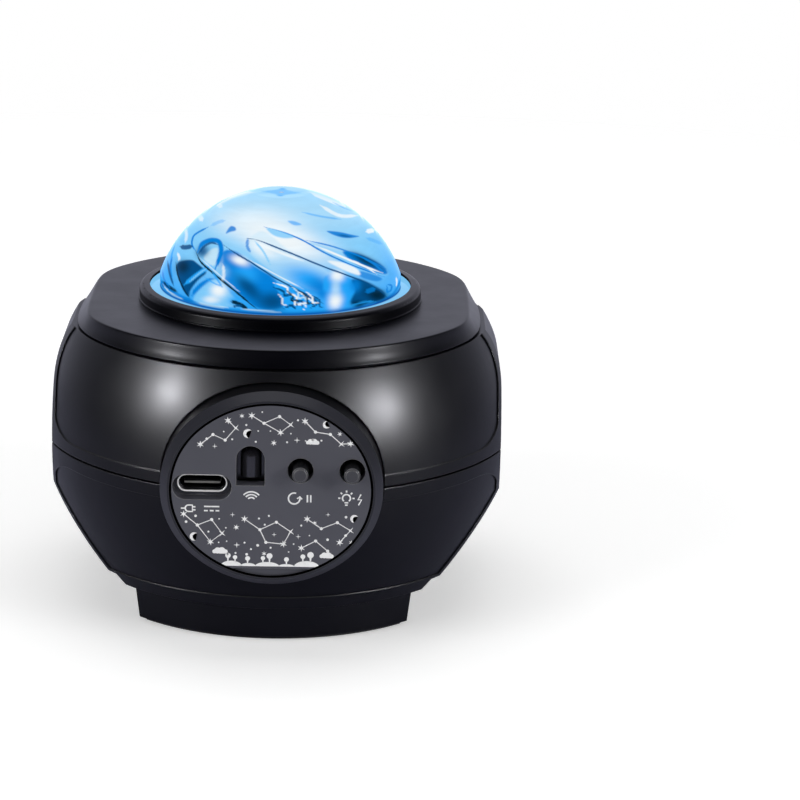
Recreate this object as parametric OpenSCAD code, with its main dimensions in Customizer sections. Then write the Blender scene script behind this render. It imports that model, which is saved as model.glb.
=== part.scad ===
// Star night light projector: a drum-shaped table projector that throws stars and
// rippling light on the ceiling. Two moulded shells with flat sides and a bulging
// front and back stand on a pedestal. A control panel is set in the front and a
// speaker in the back, and a geared wave lens turns under a clear dome.
// Millimetres, +Z up. The origin is the middle of the underside, and the control
// panel faces -Y.

/* [Body] */
// Width across the flat sides
body_w = 86; // [80:1:96]
// How far the front and the back bulge past the flat sides
front_bulge = 3; // [2:0.5:5]
// Wall thickness of the shells and the cover
wall_t = 2.2; // [1.8:0.1:2.4]
// Height of the flat top of the cover above the table
cover_z = 57.2; // [54:0.2:64]
// Height of the flat top of the cover above the seam between the shells
cover_rise = 25.6; // [24.8:0.2:27]
// Depth below the seam at which the side wall starts to slope in
waist_drop = 8.2; // [6:0.2:11]
// Angle of the sloping lower side wall from the vertical
side_slope = 38; // [32:1:42]
// Height above the seam at which the side wall starts to curve in
shoulder_rise = 11.4; // [9:0.2:13]
// Radius of the curved shoulder
shoulder_r = 18; // [16:0.5:24]
// Depth to which the front and back skins are set into the shells
skin_depth = 0.2; // [0.1:0.05:0.8]
// Height of the raised band on each side of the seam
band_h = 2.5; // [1.5:0.1:4]
// Width of the raised strips beside the skins
strip_w = 0.7; // [0.5:0.1:3]
// Radius of the skins' corners at the bands
skin_corner_r = 3.8; // [0.8:0.1:4.5]
// Width and height of the dark grooves at the seams
groove = 0.4; // [0.2:0.1:0.8]

/* [Pedestal] */
// Height of the pedestal with its pad
pedestal_h = 6.8; // [5.6:0.1:8]
// Width of the pedestal across its flat sides, at the top
pedestal_w = 52.4; // [46:0.2:54]
// Amount by which the pedestal narrows towards the floor, on each side
pedestal_taper = 0.8; // [0:0.1:1.5]
// Thickness of the rubber pad
pad_t = 0.8; // [0.6:0.1:1.5]

/* [Cover] */
// Height of the cover's bevelled side
cover_h = 3.5; // [2.8:0.1:4.2]
// Amount by which the cover's flat sides lean in over that height
cover_lean = 2.5; // [1:0.1:4]
// Width of the collar round the dome, outside the dome's flange
collar_w = 1; // [0.8:0.1:2]
// Height of the collar above the cover
collar_h = 2.8; // [2.6:0.1:4]

/* [Dome] */
// Outer radius of the clear dome
dome_r = 24.7; // [24:0.1:25.6]
// Step in from the dome to the straight neck below it
neck_step = 1.4; // [1:0.1:1.8]
// Wall thickness of the dome
dome_t = 1.6; // [1:0.1:1.8]
// Height of the dome's flattened crown above the cover
dome_rise = 20.7; // [20:0.1:23]
// Radius of the flattened crown
crown_r = 5.4; // [3:0.1:8]

/* [Panel] */
// Width of the oval panel drum
panel_w = 40.8; // [38:0.2:42]
// Height of the oval panel drum
panel_h = 36.9; // [34:0.1:37.2]
// Height of the panel's centre above the seam
panel_rise = 1.3; // [0.9:0.1:1.4]
// How far the panel stands proud of the bulging shell
panel_proud = 2; // [1.5:0.1:3]
// Wall thickness of the panel drum
drum_t = 1.2; // [1:0.1:1.5]
// Width of the sloping lip round the panel
lip_w = 1.4; // [1:0.1:1.6]
// How far the switch plungers stand out of the panel
plunger_out = 3; // [1.5:0.1:4]
// Radius of a switch plunger
plunger_r = 1.45; // [1.25:0.05:1.75]
// Radius of the panel holes round the plungers
button_hole_r = 2.35; // [2.1:0.05:2.6]
// Travel of a switch plunger
plunger_travel = 0.3; // [0.2:0.05:0.4]

/* [Wave drive] */
// Gear module
gear_module = 1; // [1:1:1]
// Teeth on the lens gear
lens_teeth = 44; // [42:2:46]
// Teeth on the motor pinion (an odd number keeps the gears in mesh)
pinion_teeth = 11; // [9:2:13]
// Face width of the gear teeth
gear_w = 4; // [3:0.5:5]
// Play between meshing teeth, measured along the pitch circle
backlash = 0.42; // [0.36:0.02:0.5]
// Radius of the hub that the lens gear turns on
hub_r = 16; // [15.5:0.1:16.4]
// Radius of the motor shaft
shaft_r = 1.5; // [1:0.1:2]
// Radial play of running fits
running_play = 0.05; // [0.03:0.01:0.08]
// Outer radius of the rippled wave lens
wave_r = 20.9; // [20.4:0.1:21]
// Number of ripples round the wave lens
ripple_count = 9; // [6:1:12]

/* [Speaker] */
// Radius of the speaker's rim
speaker_r = 14.5; // [13:0.1:15]
// Radius of one hole in the speaker grille
grille_hole_r = 0.8; // [0.6:0.05:0.9]
// Distance between neighbouring grille holes
grille_pitch = 2.7; // [2.4:0.1:3.2]

/* [Hidden] */
$fn = 96;

// Room left between parts that only lie beside each other
gap = 0.15;
// Depth by which cutting shapes run past what they cut
over = 1;
// Larger than the whole projector, for cutting blocks
reach = 150;

// --- Shell form: a ball cut by a side outline ---
half_w = body_w / 2;
bulge_r = half_w + front_bulge;
split_z = cover_z - cover_rise;
waist_z = split_z - waist_drop;
shoulder_z = split_z + shoulder_rise;
panel_z = split_z + panel_rise;
crown_z = cover_z + dome_rise;
floor_z = pedestal_h;
floor_top = floor_z + wall_t;
cover_bottom = cover_z - cover_h;
cover_edge_r = chord(bulge_r, cover_bottom - split_z);
cover_half = shoulder_half(0, cover_bottom);
skin_foot_z = pedestal_h + 2.8;
bevel_half = half_w - (waist_z - skin_foot_z) * tan(side_slope) - 2.2;
bevel_foot_half = bevel_half - 1.8;
seam_lip_h = 1.4;
seam_lip_t = wall_t / 2 - gap / 2;

// --- Pedestal ---
pedestal_top_r = chord(bulge_r, split_z - pedestal_h) - 0.4;
pedestal_screw_x = min(bevel_foot_half, pedestal_w / 2 + 2) - 8.2;
pedestal_screw_y = pedestal_top_r - 11.3;
pedestal_screw_z = pad_t + 2.4;
pedestal_floor = 2.2;
foot_boss_top = floor_top + 2.6;

// --- Cover and dome ---
cover_edge_round = 0.7;
neck_r = dome_r - neck_step;
dome_hole_r = neck_r + gap;
seat_h = 1.2;
flange_t = 1;
flange_r = neck_r + 3;
collar_lip_r = flange_r - 1;
collar_r = flange_r + collar_w;
collar_round = 0.9;
dome_z = crown_z - chord(dome_r, crown_r);
spigot_z = cover_z - wall_t + 0.4;
cover_lip_h = 1.8;
cover_lip_t = 1.5;

// --- Panel and speaker drums, measured outwards from the middle of the body ---
panel_half_w = panel_w / 2;
panel_half_h = panel_h / 2;
panel_diag = norm([panel_half_w, panel_half_h]);
panel_diff = panel_half_w - panel_half_h;
end_arc_r = (panel_diag - panel_diff) / 2 * panel_diag / panel_half_w;
side_arc_r = (panel_diag + panel_diff) / 2 * panel_diag / panel_half_h;
side_centre = side_arc_r - panel_half_h;
end_centre = panel_half_w - end_arc_r;
face_d = bulge_r + panel_proud;
lip_d = face_d - 1.8;
ear_w = 2.2;
ear_half_h = 9;
drum_back = chord(bulge_r - wall_t, panel_half_w + ear_w) - 0.35;
plate_back = lip_d - 1.4;
plate_front = face_d - 0.1;
plate_inset = drum_t + 0.6;
board_t = 1.6;
board_inset = 1;
board_back = drum_back - board_t;
boss_r = 2.2;
boss_inset = 2.6;
drum_bosses = [for (turn = [-34.5, 54.3, 125.7, 214.5])
    [cos(turn) * (panel_half_w - boss_inset), sin(turn) * (panel_half_h - boss_inset)]];
small_screw_r = 0.9;
small_head_r = 1.7;
small_head_h = 1.2;
drum_screw_len = board_t + plate_back - drum_back - 2.2;
step_z = 3.55 - panel_half_h;
step_depth = 0.5;

// --- Posts that join the shells, and the screws in them ---
post_r = 3.4;
post_ring = bulge_r - 11;
post_angle = acos((panel_half_w + ear_w) / (bulge_r - wall_t - 0.8)) - 5.3;
post_x = post_ring * cos(post_angle);
post_y = post_ring * sin(post_angle);
post_top = cover_bottom - 7.7;
shell_screw_z = split_z - 7.6;
shell_screw_len = 12;
screw_r = 1.3;
screw_head_r = 2.3;
screw_head_h = 1.6;
rib_t = 1.6;

// --- Controls on the panel, from its centre ---
switch_a = [5.3, 4];
switch_b = [14.7, 4];
plunger_flange_r = plunger_r + 0.35;
switch_cavity_r = plunger_flange_r + 0.1;
switch_size = 2 * switch_cavity_r + 0.5;
switch_h = 3.8;
switch_floor = 0.6;
plunger_flange_t = 0.6;
usb_pos = [-12.6, 0.6];
usb_slot_w = 10.8;
usb_slot_h = 4.8;
usb_w = 8.94;
usb_h = 3.26;
usb_wall = 0.3;
usb_front = face_d - 2.8;
usb_rise = 0.8;
usb_floor_t = 0.4;
usb_play = 0.15;
tongue_w = 6.7;
tongue_t = 0.7;
ir_pos = [-3.8, 1];
ir_w = 5.2;
ir_h = 7.5;
ir_body_w = 6;
ir_body_h = 7.2;
ir_body_t = 2;
ir_lens_r = 1.9;

// --- Lens deck and drive ---
deck_drop = 19.2;
deck_z = cover_z - deck_drop;
deck_t = 2;
deck_top = deck_z + deck_t;
deck_half_x = half_w - wall_t - 1;
deck_half_y = 18;
deck_r = chord(bulge_r - wall_t, deck_top - split_z) - 1;
deck_boss_r = 3;
deck_boss_x = half_w - 7.5;
deck_boss_y = 14;
deck_boss_h = 7;
hub_shoulder_r = hub_r + 1.6;
hub_inner_r = hub_r - 2.8;
hub_shoulder_h = 1.7;
end_play = 0.3;
gear_bottom = deck_top + hub_shoulder_h + end_play;
gear_rise = 2;
gear_top = gear_bottom + 8.1;
gear_z = gear_bottom + gear_rise;
clip_z = gear_top + end_play;
clip_h = 1.2;
clip_seat_r = hub_r - 1.1;
lens_r = gear_module * lens_teeth / 2;
pinion_r = gear_module * pinion_teeth / 2;
motor_x = lens_r + pinion_r;
sleeve_r = hub_r + 2.4;
lens_seat_r = 20.9;
lens_seat_t = 1.6;
wave_inner_r = hub_shoulder_r + 0.5;
wave_flange_t = 1.4;
wave_t = 1.5;
wave_z = gear_top + 3.4;
ripple_r = 9;
ripple_depth = 0.9;
ripple_tilt = 38;
ripple_rise = 42;
lens_peg_ring = (sleeve_r + lens_seat_r) / 2;
lens_peg_r = 0.6;
lens_peg_h = 1.2;

// --- Speaker ---
speaker_rim_t = 1;
basket_depth = 6.8;
magnet_r = 8.5;
magnet_h = 6;

// --- Light source ---
sink_r = hub_r + 1;
sink_screw_ring = (hub_r + hub_inner_r) / 2;
sink_t = 3;
sink_fin_h = 11;
sink_fin_t = 1.2;
sink_fin_pitch = 3.6;
sink_core_r = 5;
led_board_r = hub_inner_r - 1.2;
led_board_t = 1.2;
led_ring = 7.4;
led_size = 3.5;
led_count = 4;
laser_r = 3.2;
laser_nozzle_r = 2.2;
laser_top = deck_z + 6;
laser_len = 18;
cup_t = 0.8;

// --- Motor ---
gearbox_x = 10;
gearbox_y = 12;
gearbox_h = 9;
gearbox_top = deck_top + 2.6;
can_len = 15;
clamp_t = 0.8;
clamp_ear = 5;
clamp_screw_y = gearbox_y / 2 + clamp_t + clamp_ear / 2;

// --- Main board ---
main_board_x = 44;
main_board_y = 36;
main_board_z = floor_top + 3;
main_hole_x = 18.5;
main_hole_y = 14.5;

function chord(radius, offset) = sqrt(radius * radius - offset * offset);

// Half the body's width at a height on the curved shoulder
function shoulder_half(inset, z) =
    half_w - shoulder_r + chord(shoulder_r - inset, z - shoulder_z);

// --- Shared shapes ---

// Everything between two heights
module slab(z0, z1) {
    translate([-reach / 2, -reach / 2, z0]) cube([reach, reach, z1 - z0]);
}

// Repeats its children in all four corners of a rectangle
module corners(x, y) {
    for (sx = [-1, 1]) {
        for (sy = [-1, 1]) {
            translate([sx * x, sy * y, 0]) children();
        }
    }
}

// Outline of the body seen from the front, moved inwards by inset
module side_outline(inset) {
    half = half_w - inset;
    corner_z = waist_z + inset * tan(side_slope / 2);
    foot_half = half - corner_z * tan(side_slope);
    axis_x = half_w - shoulder_r;
    polygon([
        [-foot_half, 0], [foot_half, 0], [half, corner_z], [half, shoulder_z],
        [-half, shoulder_z], [-half, corner_z],
    ]);
    intersection() {
        translate([-half, shoulder_z]) square([2 * half, shoulder_r]);
        union() {
            for (side = [-1, 1]) {
                translate([side * axis_x, shoulder_z]) circle(r = shoulder_r - inset);
            }
            translate([-axis_x, shoulder_z]) square([2 * axis_x, shoulder_r - inset]);
        }
    }
}

// Bevel at the foot of the lower shell
module foot_outline() {
    polygon([
        [-bevel_foot_half, floor_z], [bevel_foot_half, floor_z], [bevel_half, skin_foot_z - 0.7],
        [reach / 2, skin_foot_z], [reach / 2, reach / 2], [-reach / 2, reach / 2],
        [-reach / 2, skin_foot_z], [-bevel_half, skin_foot_z - 0.7],
    ]);
}

// Draws a front-view outline right through the body
module through_body() {
    rotate([90, 0, 0]) linear_extrude(height = reach, center = true) children();
}

// The body as one solid, moved inwards by inset
module body_form(inset) {
    intersection() {
        translate([0, 0, split_z]) sphere(r = bulge_r - inset, $fn = 180);
        through_body() side_outline(inset);
    }
}

// What rounds the two corners of a skin at a band; the skin lies above it (1) or below it (-1)
module skin_corners(z, way) {
    for (side = [-1, 1]) {
        translate([side * (half_w - strip_w - skin_corner_r), z + way * skin_corner_r]) difference() {
            translate([side > 0 ? 0 : -over - skin_corner_r, way > 0 ? -over - skin_corner_r : 0]) {
                square(skin_corner_r + over);
            }
            circle(r = skin_corner_r, $fn = 48);
        }
    }
}

// What is cut away to set the skins into the front and back between two heights
module skin_recess(z0, z1) {
    difference() {
        through_body() difference() {
            intersection() {
                side_outline(strip_w);
                translate([-reach / 2, z0]) square([reach, z1 - z0]);
            }
            if (z0 > split_z) skin_corners(z0, 1);
            if (z0 < split_z) skin_corners(z1, -1);
        }
        translate([0, 0, split_z]) sphere(r = bulge_r - skin_depth, $fn = 180);
    }
}

// A dark groove cut into the outside of a seam
module seam_groove(z0, z1) {
    difference() {
        slab(z0, z1);
        body_form(wall_t / 2);
    }
}

// Lays children out on the front, with their Z pointing out of the front
module on_front() {
    translate([0, 0, panel_z]) rotate([90, 0, 0]) children();
}

// Lays children out on the back in the same way
module on_back() {
    rotate([0, 0, 180]) on_front() children();
}

// Oval of four tangent arcs, smaller than the drum by inset
module oval(inset) {
    intersection() {
        translate([0, -side_centre]) circle(r = side_arc_r - inset);
        translate([0, side_centre]) circle(r = side_arc_r - inset);
        union() {
            for (side = [-1, 1]) translate([side * end_centre, 0]) circle(r = end_arc_r - inset);
            square([2 * meet_half(inset), 4 * panel_half_h], center = true);
        }
    }
}

// Half width of the part of the oval that the two side arcs bound
function meet_half(inset) =
    end_centre * (side_arc_r - inset) / (side_arc_r - end_arc_r);

// Straight oval disc between two depths
module oval_disc(d0, d1, inset) {
    translate([0, 0, d0]) linear_extrude(height = d1 - d0) oval(inset);
}

// Oval disc that narrows from one inset to another
module oval_taper(d0, d1, inset0, inset1) {
    h = d1 - d0;
    translate([0, 0, d0]) intersection() {
        for_side_arc(-1) cylinder(r1 = side_arc_r - inset0, r2 = side_arc_r - inset1, h = h);
        for_side_arc(1) cylinder(r1 = side_arc_r - inset0, r2 = side_arc_r - inset1, h = h);
        union() {
            for (side = [-1, 1]) translate([side * end_centre, 0, 0]) {
                cylinder(r1 = end_arc_r - inset0, r2 = end_arc_r - inset1, h = h);
            }
            through_body() polygon([
                [-meet_half(inset0), 0], [meet_half(inset0), 0],
                [meet_half(inset1), h], [-meet_half(inset1), h],
            ]);
        }
    }
}

// Moves children to the centre of the lower or the upper side arc
module for_side_arc(side) {
    translate([0, side * side_centre, 0]) children();
}

// Slot with round ends
module stadium(w, h) {
    square([w - h, h], center = true);
    for (side = [-1, 1]) translate([side * (w - h) / 2, 0]) circle(d = h);
}

// Pan-head screw with a cross recess, head down and shank up from z = 0
module screw(shank_r, head_r, head_h, length) {
    difference() {
        union() {
            cylinder(r = shank_r, h = length, $fn = 24);
            translate([0, 0, -head_h]) cylinder(r1 = head_r * 0.8, r2 = head_r, h = head_h, $fn = 24);
        }
        for (turn = [0, 90]) {
            rotate([0, 0, turn]) translate([0, 0, -head_h]) {
                cube([head_r * 1.1, head_r * 0.25, head_h], center = true);
            }
        }
    }
}

// Drum that passes through the shells and carries a panel in front and a board behind
module oval_bezel() {
    difference() {
        union() {
            oval_disc(drum_back, lip_d, 0);
            oval_taper(lip_d, face_d, 0, lip_w);
        }
        oval_disc(drum_back - over, lip_d, drum_t);
        oval_disc(lip_d - over, face_d + over, plate_inset);
    }
    difference() {
        intersection() {
            union() {
                for (boss = drum_bosses) {
                    translate([boss.x, boss.y, drum_back]) {
                        cylinder(r = boss_r, h = plate_back - drum_back - gap, $fn = 32);
                    }
                }
            }
            oval_disc(drum_back, lip_d, drum_t / 2);
        }
        for (boss = drum_bosses) {
            translate([boss.x, boss.y, drum_back - over]) {
                cylinder(r = small_screw_r + 0.02, h = plate_back - drum_back - over, $fn = 32);
            }
        }
    }
    intersection() {
        difference() {
            oval_disc(drum_back - 1.4, drum_back + 0.15, -ear_w);
            oval_disc(drum_back - 2, drum_back + over, drum_t / 2);
        }
        cube([reach, 2 * ear_half_h, reach], center = true);
    }
}

// Face plate with a rim that holds it behind the bezel's lip
module face_plate() {
    oval_disc(plate_back, lip_d - 0.05, drum_t + gap);
    oval_disc(lip_d - 0.1, plate_front, plate_inset + 0.2);
}

// Spur gear outline with straight-sided teeth, one tooth on the +X axis
module gear_outline(teeth, tooth_play) {
    pitch_r = gear_module * teeth / 2;
    tip_r = pitch_r + 0.88 * gear_module;
    root_r = pitch_r - 1.2 * gear_module;
    half_thick = gear_module * 3.14159265 / 4 - tooth_play / 2;
    tip_half = half_thick - (tip_r - pitch_r) * tan(20);
    root_half = half_thick + (pitch_r - root_r) * tan(20);
    points = [for (k = [0 : teeth - 1]) each [
        for (p = [[root_r, -root_half], [tip_r, -tip_half], [tip_r, tip_half], [root_r, root_half]])
            let (turn = 360 * k / teeth)
            [p.x * cos(turn) - p.y * sin(turn), p.x * sin(turn) + p.y * cos(turn)]
    ]];
    polygon(points);
}

// --- Pedestal ---

// Pedestal outline between two heights, narrower by inset
module pedestal_form(z0, z1, inset) {
    top_half = pedestal_w / 2 - inset;
    low_half = top_half - pedestal_taper;
    top_r = pedestal_top_r - inset;
    low_r = top_r - pedestal_taper;
    intersection() {
        cylinder(r1 = low_r, r2 = top_r, h = pedestal_h);
        through_body() polygon([
            [-low_half, 0], [low_half, 0], [top_half, pedestal_h], [-top_half, pedestal_h],
        ]);
        slab(z0, z1);
    }
}

// Places children at the four screws that hold the pedestal
module at_pedestal_screws() {
    for (side = [-1, 1]) {
        translate([side * pedestal_screw_x, 0, 0]) children();
        translate([0, side * pedestal_screw_y, 0]) children();
    }
}

module base_pad() {
    color("#1b1b1d") pedestal_form(0, pad_t, 1.2);
}

module pedestal() {
    color("#17181c") difference() {
        union() {
            difference() {
                pedestal_form(pad_t, pedestal_h, 0);
                pedestal_form(pad_t + pedestal_floor, pedestal_h + over, wall_t);
            }
            intersection() {
                at_pedestal_screws() cylinder(r = post_r, h = pedestal_h);
                pedestal_form(pad_t, pedestal_h, wall_t / 2);
            }
        }
        at_pedestal_screws() {
            cylinder(r = screw_r + gap, h = pedestal_h + over);
            cylinder(r = screw_head_r + gap, h = pedestal_screw_z);
        }
    }
}

module pedestal_screws() {
    color("silver") at_pedestal_screws() translate([0, 0, pedestal_screw_z]) {
        screw(screw_r, screw_head_r, screw_head_h, 8);
    }
}

// --- Shells ---

module lower_shell() {
    color("#1c1d21") difference() {
        union() {
            difference() {
                intersection() {
                    body_form(0);
                    slab(floor_z, split_z);
                    through_body() foot_outline();
                }
                intersection() {
                    body_form(wall_t);
                    slab(floor_top, split_z + over);
                }
                skin_recess(skin_foot_z, split_z - band_h);
            }
            // Lip that locates the upper shell
            difference() {
                intersection() {
                    body_form(wall_t - seam_lip_t);
                    slab(split_z - 2, split_z + seam_lip_h);
                }
                body_form(wall_t);
            }
            intersection() {
                body_form(wall_t / 2);
                union() {
                    corners(post_x, post_y) cylinder(r = post_r, h = split_z - 0.1);
                    corners(main_hole_x, main_hole_y) cylinder(r = 2.6, h = main_board_z);
                    at_pedestal_screws() cylinder(r = 2.6, h = foot_boss_top);
                }
                slab(floor_z, split_z - 0.1);
            }
        }
        corners(post_x, post_y) {
            cylinder(r = screw_r + gap, h = split_z + over);
            cylinder(r = screw_head_r + gap, h = shell_screw_z);
        }
        corners(main_hole_x, main_hole_y) {
            translate([0, 0, floor_top]) cylinder(r = small_screw_r + 0.02, h = main_board_z);
        }
        at_pedestal_screws() cylinder(r = screw_r + 0.02, h = foot_boss_top + over);
        drum_openings();
    }
}

// Elliptical openings for the drums in the front and the back of the shells
module drum_openings() {
    room = gap + 0.04 * panel_diff;
    opening = [panel_half_w + room, panel_half_h + room];
    for (turn = [0, 180]) {
        rotate([0, 0, turn]) on_front() translate([0, 0, drum_back - 2]) {
            scale([1, opening.y / opening.x, 1]) cylinder(r = opening.x, h = reach / 2);
        }
    }
}

module upper_shell() {
    color("#1c1d21") difference() {
        union() {
            difference() {
                intersection() {
                    body_form(0);
                    slab(split_z, cover_bottom);
                }
                intersection() {
                    body_form(wall_t);
                    slab(split_z - over, cover_bottom + over);
                }
                // Rebate for the lower shell's lip
                intersection() {
                    body_form(wall_t - seam_lip_t - gap);
                    slab(split_z - over, split_z + seam_lip_h + gap);
                }
                skin_recess(split_z + band_h, cover_bottom - groove);
                seam_groove(split_z, split_z + groove);
                seam_groove(cover_bottom - groove, cover_bottom + over);
            }
            intersection() {
                body_form(wall_t / 2);
                slab(split_z + seam_lip_h + 2 * gap, cover_bottom - 1);
                union() {
                    shell_posts();
                    deck_bosses();
                }
            }
            corners(post_x, post_y) translate([0, 0, split_z + 0.1]) {
                cylinder(r = post_r, h = post_top - split_z - 0.1);
            }
        }
        corners(post_x, post_y) translate([0, 0, split_z - over]) {
            cylinder(r = screw_r + 0.02, h = shell_screw_len - 1);
        }
        corners(deck_boss_x, deck_boss_y) translate([0, 0, deck_top - over]) {
            cylinder(r = screw_r + 0.02, h = deck_boss_h);
        }
        drum_openings();
    }
}

// Ribs that carry the shell posts on the round wall
module shell_posts() {
    for (sx = [-1, 1]) {
        for (sy = [-1, 1]) {
            rotate([0, 0, atan2(sy * post_y, sx * post_x)]) {
                translate([post_ring, -rib_t / 2, split_z]) {
                    cube([bulge_r - post_ring, rib_t, post_top - split_z]);
                }
            }
        }
    }
}

// Bosses on the side walls that the lens deck is screwed to
module deck_bosses() {
    corners(deck_boss_x, deck_boss_y) translate([0, 0, deck_top]) {
        cylinder(r = deck_boss_r, h = deck_boss_h);
    }
    for (sx = [-1, 1]) {
        for (sy = [-1, 1]) {
            translate([sx * (deck_boss_x + half_w) / 2, sy * deck_boss_y, deck_top + deck_boss_h / 2]) {
                cube([half_w - deck_boss_x, 2 * rib_t, deck_boss_h], center = true);
            }
        }
    }
}

module shell_screws() {
    color("silver") corners(post_x, post_y) translate([0, 0, shell_screw_z]) {
        screw(screw_r, screw_head_r, screw_head_h, shell_screw_len);
    }
}

// --- Cover and dome ---

// Cover form from its bottom edge to a height, moved inwards by inset
module cover_form(top, inset) {
    round_r = cover_edge_round;
    edge_r = cover_edge_r - inset;
    half = cover_half - inset;
    intersection() {
        rotate_extrude() {
            translate([0, cover_bottom]) square([edge_r, top - cover_bottom - round_r]);
            translate([0, cover_bottom]) square([edge_r - round_r, top - cover_bottom]);
            translate([edge_r - round_r, top - round_r]) circle(r = round_r);
        }
        through_body() polygon([
            [-half, cover_bottom], [half, cover_bottom],
            [half - cover_lean, top], [cover_lean - half, top],
        ]);
    }
}

module top_cover() {
    lip_r = chord(bulge_r - wall_t, cover_bottom - split_z) - gap;
    lip_half = shoulder_half(wall_t, cover_bottom) - gap;
    color("#2a2b2f") difference() {
        union() {
            difference() {
                cover_form(cover_z, 0);
                translate([0, 0, -0.01]) cover_form(cover_z - wall_t, wall_t);
            }
            translate([0, 0, cover_z - wall_t]) cylinder(r = flange_r, h = wall_t + seat_h);
            difference() {
                lip_ring(lip_r, lip_half, cover_bottom - cover_lip_h, cover_z - wall_t + 0.1);
                lip_ring(lip_r - cover_lip_t, lip_half - cover_lip_t, 0, cover_z - wall_t);
            }
        }
        cylinder(r = dome_hole_r, h = reach);
    }
}

// Round post with two flat sides
module lip_ring(radius, half, z0, z1) {
    intersection() {
        translate([0, 0, z0]) cylinder(r = radius, h = z1 - z0);
        translate([-half, -reach / 2, z0]) cube([2 * half, reach, z1 - z0]);
    }
}

module dome_collar() {
    top = cover_z + collar_h;
    color("#0c0c0e") rotate_extrude() difference() {
        union() {
            translate([0, cover_z]) square([collar_r, collar_h - collar_round]);
            translate([0, cover_z]) square([collar_r - collar_round, collar_h - 0.15]);
            translate([collar_r - collar_round, top - collar_round - 0.15]) circle(r = collar_round);
            polygon([[0, top - 0.5], [collar_r - collar_round, top - 0.5],
                [collar_r - collar_round, top - 0.15], [collar_lip_r, top], [0, top]]);
            translate([0, cover_z]) square([collar_r + 0.15, 0.35]);
        }
        translate([0, cover_z - over]) square([collar_lip_r, collar_h + 2 * over]);
        translate([0, cover_z - over]) square([flange_r + gap, seat_h + flange_t + gap / 2 + over]);
    }
}

module dome_lens() {
    neck_top = dome_z + chord(dome_r, neck_r);
    color("deepskyblue", 0.45) rotate_extrude() difference() {
        union() {
            intersection() {
                translate([0, dome_z]) circle(r = dome_r, $fn = 180);
                union() {
                    translate([0, spigot_z]) square([neck_r, crown_z - spigot_z]);
                    translate([0, neck_top]) square([dome_r, crown_z - neck_top]);
                }
            }
            translate([neck_r - dome_t / 2, cover_z + seat_h]) {
                square([flange_r - neck_r + dome_t / 2, flange_t]);
            }
        }
        intersection() {
            translate([0, dome_z]) circle(r = dome_r - dome_t, $fn = 180);
            square([neck_r - dome_t, reach]);
        }
    }
}

// --- Control panel ---

module panel_bezel() {
    color("#2c2d31") on_front() oval_bezel();
}

module panel_plate() {
    color("#3a3b41") on_front() difference() {
        face_plate();
        for (button = [switch_a, switch_b]) {
            translate([button.x, button.y, plate_back - over]) cylinder(r = button_hole_r, h = 10);
        }
        // Pocket of the inlet, and the opening in its floor
        translate([usb_pos.x, usb_pos.y, plate_back + usb_floor_t]) {
            linear_extrude(height = 10) stadium(usb_slot_w, usb_slot_h);
        }
        translate([usb_pos.x, usb_pos.y + usb_rise / 2, plate_back - over]) {
            linear_extrude(height = 10) stadium(usb_w + 2 * usb_play, usb_h + 2 * usb_play);
        }
        translate([ir_pos.x, ir_pos.y, plate_back - over]) linear_extrude(height = 10) {
            translate([-ir_w / 2, 0]) square([ir_w, ir_h - ir_w / 2]);
            translate([0, ir_h - ir_w / 2]) circle(d = ir_w);
        }
        // Lower step of the plate
        translate([-reach / 2, step_z - reach, plate_front - step_depth]) cube([reach, reach, reach]);
    }
}

module control_board() {
    color("darkgreen") on_front() difference() {
        oval_disc(board_back, drum_back, board_inset);
        for (boss = drum_bosses) {
            translate([boss.x, boss.y, board_back - over]) {
                cylinder(r = small_screw_r + gap, h = board_t + 2 * over, $fn = 32);
            }
        }
    }
}

module switch_bodies() {
    color("#444444") on_front() for (button = [switch_a, switch_b]) {
        translate([button.x, button.y, drum_back]) difference() {
            translate([0, 0, switch_h / 2]) cube([switch_size, switch_size, switch_h], center = true);
            translate([0, 0, switch_floor]) cylinder(r = plunger_r + running_play, h = switch_h);
            translate([0, 0, switch_floor]) cylinder(r = switch_cavity_r, h = 1.8);
        }
    }
}

// Plunger of one push switch, with the flange that its body holds
module plunger(place) {
    bottom = drum_back + switch_floor + plunger_travel + 0.4;
    on_front() translate([place.x, place.y, bottom]) {
        cylinder(r = plunger_r, h = face_d + plunger_out - bottom - 0.3);
        cylinder(r = plunger_r - 0.3, h = face_d + plunger_out - bottom);
        cylinder(r = plunger_flange_r, h = plunger_flange_t);
    }
}

module button_motor() {
    color("#26272a") plunger(switch_a);
}

module button_led() {
    color("#26272a") plunger(switch_b);
}

module usb_shell() {
    color("lightgray") on_front() translate([usb_pos.x, usb_pos.y + usb_rise / 2, drum_back]) {
        linear_extrude(height = usb_front - drum_back) difference() {
            stadium(usb_w, usb_h);
            stadium(usb_w - 2 * usb_wall, usb_h - 2 * usb_wall);
        }
    }
}

module usb_tongue() {
    inner_w = usb_w - 2 * usb_wall;
    inner_h = usb_h - 2 * usb_wall;
    color("#111111") on_front() translate([usb_pos.x, usb_pos.y + usb_rise / 2, drum_back]) {
        linear_extrude(height = 1.6) stadium(inner_w, inner_h);
        translate([-tongue_w / 2, -tongue_t / 2, 0]) cube([tongue_w, tongue_t, usb_front - drum_back - 0.6]);
    }
}

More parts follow.
